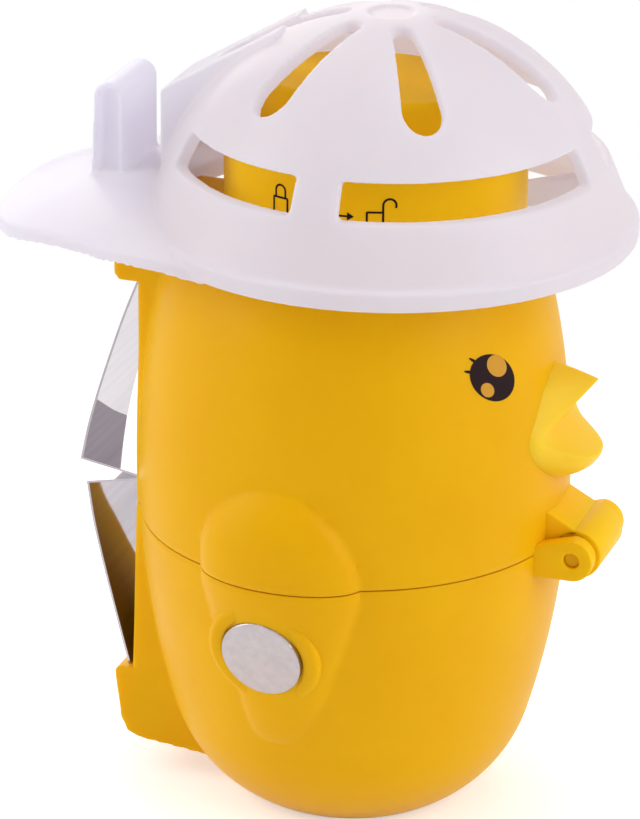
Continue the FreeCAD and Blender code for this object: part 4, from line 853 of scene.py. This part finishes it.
closed_body = box_points(-8.25, 92.35, -5.95, 94.95)
closed_shackle = [(-7.9, 94.95)] + arc_points((-7.1, 95.95), 0.8, 180, 0, 12) + [(-6.3, 94.95)]
open_body = box_points(5.6, 91.9, 7.8, 94.45)
open_shackle = [(7.8, 94.45), (7.8, 95.2)] + arc_points((8.7, 95.45), 0.9, 180, -25, 14)
arrow_shaft = rod_points((-1.6, 93.75), (3.1, 93.75), 12)
arrow_head = bmesh.new()
arrow_head.faces.new([arrow_head.verts.new(point) for point in
                      ((2.9, 0, 93.15), (3.85, 0, 93.75), (2.9, 0, 94.35))])
marks = joined(ribbon(closed_body, closed=True), ribbon(closed_shackle), ribbon(open_body, closed=True),
               ribbon(open_shackle), ribbon(arrow_shaft, 0.28), arrow_head)
finish_piece("dial_marks", wrapped(marks, DIAL_RADIUS, KNOB_X), "lock", ink_brown)

# %% [markdown]
# ## Eyes
# The eyes are printed too: a dark oval with two light spots and two lashes. A disc is drawn on the
# unrolled head and laid onto the skin, which curves both ways.


# %% Ovals laid on the head
def laid_oval(along, height, long, short, tilt, lift, side, rings=6):
    """A disc of ink on the head: along is arc length from the side of the chick."""
    shape = bmesh.new()
    bmesh.ops.create_circle(shape, cap_ends=True, cap_tris=True, segments=48, radius=1)
    spokes = [edge for edge in shape.edges if not edge.is_boundary]
    bmesh.ops.subdivide_edges(shape, edges=spokes, cuts=rings - 1)
    bmesh.ops.triangulate(shape, faces=shape.faces)
    cosine, sine = math.cos(math.radians(tilt)), math.sin(math.radians(tilt))
    for vertex in shape.verts:
        x, y = vertex.co.x * long, vertex.co.y * short
        s, z = along + x * cosine - y * sine, height + x * sine + y * cosine
        radius = egg_radius(z)
        angle = s / egg_radius(height) - math.pi / 2
        vertex.co = ((radius + lift) * math.cos(angle), side * (radius + lift) * math.sin(angle), z)
    return shape


INK_LIFT, GLINT_LIFT = 0.04, 0.07
OUTLINE_AND_LASHES = ((29.79, 70.67, 4.29, 3.05, -31.7), (26.2, 73.64, 0.95, 0.2, -35),
                      (25.5, 72.3, 0.85, 0.2, -17.5))
GLINTS = ((30.35, 72.15, 1.93, 1.40, -34.9), (28.80, 69.25, 1.25, 0.93, -36.1))


def printed(ovals, lift):
    """The same ovals on both sides of the head."""
    return joined(*[laid_oval(*oval_sizes, lift, side) for side in (1, -1) for oval_sizes in ovals])


eye_ink, eye_glints = printed(OUTLINE_AND_LASHES, INK_LIFT), printed(GLINTS, GLINT_LIFT)
finish_piece("eye_ink", eye_ink, "upper_half", ink_brown, weld=0)
finish_piece("eye_glints", eye_glints, "upper_half", ink_gold, weld=0)

# %% [markdown]
# ## Cap
# The cap is one thin moulding: a slotted dome on a skirt, with a rim, a visor, a hump and a hook that
# hangs it on a bowl. The wall is spun from its section, and Booleans cut the slots, the long windows
# and the room under the hump. The visor is a lens between two large spheres, cut to its outline. All is
# then rebuilt as one skin with a voxel Remesh, relaxed a little and thinned out where it is flat, so
# that the pieces meet in soft hollows and every edge has a small round.

# %% Wall of the cap
DOME_HEIGHT, DOME_RADIUS, CAP_WALL = 83.8, 33.0, 2.0
DIMPLE_RADIUS, DIMPLE_FLOOR = 3.2, DOME_HEIGHT + DOME_RADIUS - 0.6
RIM_LOW, RIM_HIGH, SKIRT_TOP, WINDOW_TOP = 85.1, 87.9, 96.0, 101.0
SKIRT_RADIUS = CAP_RADIUS - 0.9
SKIRT_INNER, DOME_INNER = SKIRT_RADIUS - CAP_WALL, DOME_RADIUS - CAP_WALL
WINDOWS = ((-85.3, 77.7), (7.6, 77.7), (98.3, 49.7), (-148.0, 49.7))  # first angle and spread
SLOT_OUTER, SLOT_INNER = (21.1, 2.85), (7.6, 1.5)  # place and radius of a slot's round ends
HUMP = (-27.2, -10.0, 6.5, 89.6, 103.6)  # back, front, half width, bottom, top at the back
HUMP_ROOM = (-25.2, -12.0, 4.5, 84.1, 102.2)
LIP_ROOM = (-33.2, -20.8, 10.1, 84.1, 86.3)
WINDOW_INNER, WINDOW_OUTER, SLOT_LOW, SLOT_HIGH = 21.7, 36.0, 102.0, 120.0  # where the cutters reach
HUMP_SLOPE = math.tan(math.radians(31))


def skin_height(radius, along, across=0.0):
    """Height of a sphere's skin over its middle plane, at a place beside its axis."""
    return math.sqrt(radius ** 2 - along ** 2 - across ** 2)


def dome_arc(radius, steps=48):
    """Points on a dome, from the skirt to the apex."""
    low = math.degrees(math.asin((SKIRT_TOP - DOME_HEIGHT) / radius))
    return arc_points((0, DOME_HEIGHT), radius, low, 90, steps)


def cut_shape(name, base, *tools):
    """A bmesh changed by Booleans, each (operation, tool)."""
    meshes, recipes, helpers = [], [], []
    for shape in (base, *[tool for _, tool in tools]):
        bmesh.ops.recalc_face_normals(shape, faces=shape.faces)
        meshes.append(mesh_of(name, shape))
    for (operation, _), mesh in zip(tools, meshes[1:]):
        helpers.append(linked(name + "_tool", mesh))
        recipes.append(("BOOLEAN", {"operation": operation, "object": helpers[-1], "solver": "EXACT"}))
    result = bmesh.new()
    result.from_mesh(modified_mesh(name, meshes[0], *recipes))
    for helper in helpers:
        bpy.data.objects.remove(helper)
    return result


def sector(first, spread, low, high, inner, outer):
    """A block between two radii and two heights that runs part of the way round the cap's axis."""
    shape = bmesh.new()
    corners = [shape.verts.new((CAP_X + x, 0, z))
               for x, z in ((inner, low), (outer, low), (outer, high), (inner, high))]
    edges = [shape.edges.new(pair) for pair in zip(corners, corners[1:] + corners[:1])]
    bmesh.ops.spin(shape, geom=corners + edges, cent=(CAP_X, 0, 0), axis=(0, 0, 1), dvec=(0, 0, 0),
                   angle=math.radians(spread), steps=64)
    bmesh.ops.holes_fill(shape, edges=[edge for edge in shape.edges if edge.is_boundary], sides=4)
    turn = Matrix.Rotation(math.radians(first), 3, "Z")
    bmesh.ops.rotate(shape, verts=shape.verts, cent=(CAP_X, 0, 0), matrix=turn)
    return shape


def drain_slot(turn):
    """A tapered slot with round ends; its walls stand square to the dome, so that no edge is thin."""
    points = arc_points((SLOT_OUTER[0], 0), SLOT_OUTER[1], -90, 90, 24)
    points += arc_points((SLOT_INNER[0], 0), SLOT_INNER[1], 90, 270, 16)
    shape = slab(points, SLOT_LOW, SLOT_HIGH)
    for vertex in shape.verts:
        along, height, across = vertex.co
        spread = (height - DOME_HEIGHT) / skin_height(DOME_RADIUS, along, across)
        vertex.co = (along * spread, across * spread, height)
    place = Matrix.Translation((CAP_X, 0, 0)) @ Matrix.Rotation(math.radians(turn), 4, "Z")
    bmesh.ops.transform(shape, matrix=place, verts=shape.verts)
    return shape


def block(back, front, half, low, high, slope=0.0):
    """A box whose top may slope up to the front."""
    top = high + (front - back) * slope
    return slab(((back, low), (front, low), (front, top), (back, high)), -half, half)


def hollow():
    """The room inside the cap's wall."""
    profile = [(0, RIM_LOW - 4), (SKIRT_INNER, RIM_LOW - 4), (SKIRT_INNER, RIM_HIGH)] + dome_arc(DOME_INNER)
    return spun(profile, 256, CAP_X)


section = [(SKIRT_INNER, RIM_LOW), (CAP_RADIUS, RIM_LOW), (CAP_RADIUS, RIM_HIGH), (SKIRT_RADIUS, RIM_HIGH)]
section += [spot for spot in dome_arc(DOME_RADIUS) if spot[0] > DIMPLE_RADIUS]
section += [(DIMPLE_RADIUS, DOME_HEIGHT + skin_height(DOME_RADIUS, DIMPLE_RADIUS)),
            (DIMPLE_RADIUS, DIMPLE_FLOOR), (0, DIMPLE_FLOOR)]
section += dome_arc(DOME_INNER)[::-1] + [(SKIRT_INNER, RIM_HIGH), (SKIRT_INNER, RIM_LOW)]
windows = joined(*[sector(first, spread, SKIRT_TOP, WINDOW_TOP, WINDOW_INNER, WINDOW_OUTER)
                   for first, spread in WINDOWS])
slots = joined(*[drain_slot(60 * number) for number in range(6)])
wall = cut_shape("cap_wall", spun(section, 256, CAP_X), ("DIFFERENCE", windows), ("DIFFERENCE", slots),
                 ("DIFFERENCE", block(*HUMP_ROOM, HUMP_SLOPE)), ("DIFFERENCE", block(*LIP_ROOM)))
print("cap wall:", len(wall.faces), "faces")

# %% [markdown]
# The visor's outline is a chain of arcs, mirrored to the other side. The hook is an arch whose ends are
# inset and pressed in.

# %% Visor, hump and hook
VISOR_X, VISOR_MIDDLE, VISOR_RADIUS, VISOR_WALL = -20.0, 9.0, 83.0, 1.7
VISOR_CORNERS = ((-12.0, 29.6), (-28.0, 27.2), (-40.5, 22.0), (-49.6, 11.0))
VISOR_BULGES, BACK_BULGE = (110.0, 200.0, 14.0), 60.0
HOOK_HALF, HOOK_RIM, HOOK_POCKET = 6.5, 0.85, 1.4


def bulged(start, end, radius, steps=16):
    """Points from start up to end on the arc between them."""
    centre = arc_centre(start, end, radius)
    first, last = [math.degrees(math.atan2(y - centre[1], x - centre[0])) % 360 for x, y in (start, end)]
    return arc_points(centre, radius, first, last, steps)[:-1]


flank_points = [spot for start, end, radius in zip(VISOR_CORNERS, VISOR_CORNERS[1:], VISOR_BULGES)
                for spot in bulged(start, end, radius)]
back_corner = VISOR_CORNERS[-1]
plan = flank_points + bulged(back_corner, (back_corner[0], -back_corner[1]), BACK_BULGE, 24)
plan += [(x, -y) for x, y in [back_corner] + flank_points[::-1]]
outline_prism = slab(plan, 80.0, 95.0)
bmesh.ops.transform(outline_prism, verts=outline_prism.verts,
                    matrix=Matrix(((1, 0, 0, 0), (0, 0, 1, 0), (0, 1, 0, 0), (0, 0, 0, 1))))
lens = [(x, VISOR_MIDDLE + skin_height(VISOR_RADIUS, x)) for x in range(61)]
lens += [(x, VISOR_MIDDLE + skin_height(VISOR_RADIUS - VISOR_WALL, x)) for x in range(60, -1, -1)]
visor = cut_shape("visor", spun(lens + lens[:1], 256, VISOR_X), ("INTERSECT", outline_prism),
                  ("DIFFERENCE", hollow()))
hump = cut_shape("hump", block(*HUMP, HUMP_SLOPE), ("DIFFERENCE", hollow()),
                 ("DIFFERENCE", block(*HUMP_ROOM, HUMP_SLOPE)), ("DIFFERENCE", drain_slot(180)))
arch = [(-37.6, 89.8), (-32.4, 89.8)] + arc_points((-34.75, 101.45), 2.35, 0, 180, 20)
hook = slab(arch, -HOOK_HALF, HOOK_HALF)
hook.normal_update()
ends = [face for face in hook.faces if abs(face.normal.y) > 0.9]
for thickness, depth in ((HOOK_RIM, 0.0), (0.1, -HOOK_POCKET)):
    bmesh.ops.inset_individual(hook, faces=ends, thickness=thickness, depth=depth, use_even_offset=True)
fins = bmesh.new()
fins.from_mesh(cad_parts["cap_fins"].data)
bmesh.ops.scale(fins, vec=(1 / MM,) * 3, verts=fins.verts)
cap_pieces = mesh_of("cap_pieces", joined(wall, visor, hump, hook, fins))
CAP_NODES = tuple(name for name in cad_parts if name.startswith("cap_"))
voxel, rounds, kept = ((0.25, 20, 0.27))
cap_mesh = modified_mesh("cap", cap_pieces, ("REMESH", {"mode": "VOXEL", "voxel_size": voxel}),
                         ("SMOOTH", {"factor": 0.5, "iterations": rounds}), ("DECIMATE", {"ratio": kept}))
place_mesh("separator_cap_skin", cap_mesh, "cap", cap_white, CAP_NODES, 80)
print("cap triangles:", sum(len(face.vertices) - 2 for face in cap_mesh.polygons))

# %% [markdown]
# ## Pieces that stay as packed
# Decks, screws, plates, the pin, the spring and the lock's inner pieces have the right shape already.
# They keep their meshes and get finishes of their own, and so do the nodes that a dressed piece hides.

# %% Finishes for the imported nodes
FINISHES = ((chick_yellow, ("lower_shell", "upper_shell", "hinge_pin")), (beak_yellow, ("beak",)),
            (knob_yellow, ("lock_knob", "knob_grip")), (deck_yellow, ("lower_deck", "upper_deck")),
            (cap_white, CAP_NODES),
            (blade_steel, ("upper_blade", "lower_blade")), (magnet_nickel, ("magnet_right", "magnet_left")),
            (plate_steel, ("latch_plates", "latch_arm", "lock_shaft", "shaft_clip")),
            (spring_wire, ("opening_spring",)), (washer_white, ("knob_washer", "knob_bushing")))
finish_of = {name: material for material, names in FINISHES for name in names}
for name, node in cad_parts.items():
    node.data.materials.clear()
    node.data.materials.append(finish_of.get(name, screw_zinc))
print("finished nodes:", len(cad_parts))

# %% [markdown]
# ## Light, floor and camera
# A white floor and soft boxes to both sides keep the product's middle a little deeper in colour than
# its flanks. What the camera, mirrors and glass see of the floor is white: near the chick it is the lit
# floor and a little glow, so that its shadow stays, and further off it is plain white. The camera looks
# from the front right and a little above.

# %% Floor and backdrop
FLOOR_SIZE = 4.0
floor_shape = bmesh.new()
bmesh.ops.create_grid(floor_shape, x_segments=8, y_segments=8, size=FLOOR_SIZE)
studio_floor = linked("studio_floor", mesh_of("studio_floor", floor_shape))
floor_white, nodes, links, shader, place = new_material("floor_white")
set_inputs(shader, Roughness=0.9, Specular_IOR_Level=0.0, Base_Color=(0.92, 0.92, 0.92, 1))
GLOW_NEAR, SHADOW_START, SHADOW_END = 0.42, 0.05, 0.2


def glow_of(nodes, kind, strength, colour=(1, 1, 1, 1)):
    """The output of an even glow, an emission or a background."""
    return set_inputs(nodes.new(kind), Color=colour, Strength=strength).outputs[0]


def blend_of(nodes, links, factor, first, second):
    """Two shaders mixed by a factor."""
    blend = nodes.new("ShaderNodeMixShader")
    for value, socket in zip((factor, first, second), blend.inputs):
        links.new(value, socket)
    return blend.outputs[0]


def watched(nodes, links):
    """1 for what the camera, mirrors and glass see, else 0."""
    rays = nodes.new("ShaderNodeLightPath")
    value = rays.outputs["Is Camera Ray"]
    for name in ("Is Glossy Ray", "Is Transmission Ray"):
        most = nodes.new("ShaderNodeMath")
        most.operation = "MAXIMUM"
        links.new(value, most.inputs[0])
        links.new(rays.outputs[name], most.inputs[1])
        value = most.outputs[0]
    return value


distance = nodes.new("ShaderNodeVectorMath")
distance.operation = "LENGTH"
links.new(place, distance.inputs[0])
far = set_inputs(nodes.new("ShaderNodeMapRange"), From_Min=SHADOW_START, From_Max=SHADOW_END)
far.interpolation_type = "SMOOTHSTEP"
links.new(distance.outputs["Value"], far.inputs["Value"])
lit = nodes.new("ShaderNodeAddShader")
links.new(shader.outputs[0], lit.inputs[0])
links.new(glow_of(nodes, "ShaderNodeEmission", GLOW_NEAR), lit.inputs[1])
white = glow_of(nodes, "ShaderNodeEmission", 1.0)
seen = blend_of(nodes, links, far.outputs[0], lit.outputs[0], white)
surface = blend_of(nodes, links, watched(nodes, links), shader.outputs[0], seen)
links.new(surface, nodes["Material Output"].inputs["Surface"])
studio_floor.data.materials.append(floor_white)
print("floor:", FLOOR_SIZE * 2, "m square")


# %% Lamps
def soft_box(name, place, target, size, power):
    """A large plain lamp that faces its target."""
    lamp = bpy.data.lights.new(name, "AREA")
    lamp.shape = "RECTANGLE"
    lamp.size, lamp.size_y = size
    lamp.energy = power
    holder = linked(name, lamp)
    holder.location = place
    holder.rotation_euler = (Vector(target) - Vector(place)).to_track_quat("-Z", "Y").to_euler()


soft_box("left_box", (-0.75, -0.35, 0.45), (0, 0, 0.05), (0.7, 0.9), 4.2)
soft_box("right_box", (0.85, -0.12, 0.5), (0, 0, 0.05), (0.7, 0.9), 4.6)
soft_box("back_box", (-0.5, 0.8, 0.45), (0, 0, 0.05), (0.7, 0.7), 2.5)
soft_box("top_box", (0.0, 0.1, 1.0), (0, 0, 0.06), (0.9, 0.9), 2.2)
world = bpy.context.scene.world or bpy.data.worlds.new("studio")
bpy.context.scene.world = world
world.use_nodes = True
nodes, links = world.node_tree.nodes, world.node_tree.links
nodes.clear()
output = nodes.new("ShaderNodeOutputWorld")
dim = glow_of(nodes, "ShaderNodeBackground", 0.42, (0.95, 0.96, 1.0, 1))
bright = glow_of(nodes, "ShaderNodeBackground", 1.0)
links.new(blend_of(nodes, links, watched(nodes, links), dim, bright), output.inputs["Surface"])
bpy.context.scene.view_settings.view_transform = "Standard"
print("lamps and world are set")

# %% Camera
CAMERA_PLACE = Vector((197.2, -589.2, 302.82)) * MM
CAMERA_RIGHT = Vector((0.9446, 0.3281, 0.0081))
CAMERA_BACK = Vector((0.3023, -0.8794, 0.3678))
camera_data = bpy.data.cameras.new("studio_camera")
camera_data.sensor_width, camera_data.lens = 36.0, 206.45
camera = linked("studio_camera", camera_data)
back = CAMERA_BACK.normalized()
right = (CAMERA_RIGHT - CAMERA_RIGHT.project(back)).normalized()
up = back.cross(right)
turn = Matrix((right, up, back)).transposed()
camera.matrix_world = Matrix.Translation(CAMERA_PLACE) @ turn.to_4x4()
bpy.context.scene.camera = camera
print("camera at", [round(v, 3) for v in camera.location], "lens", camera_data.lens)
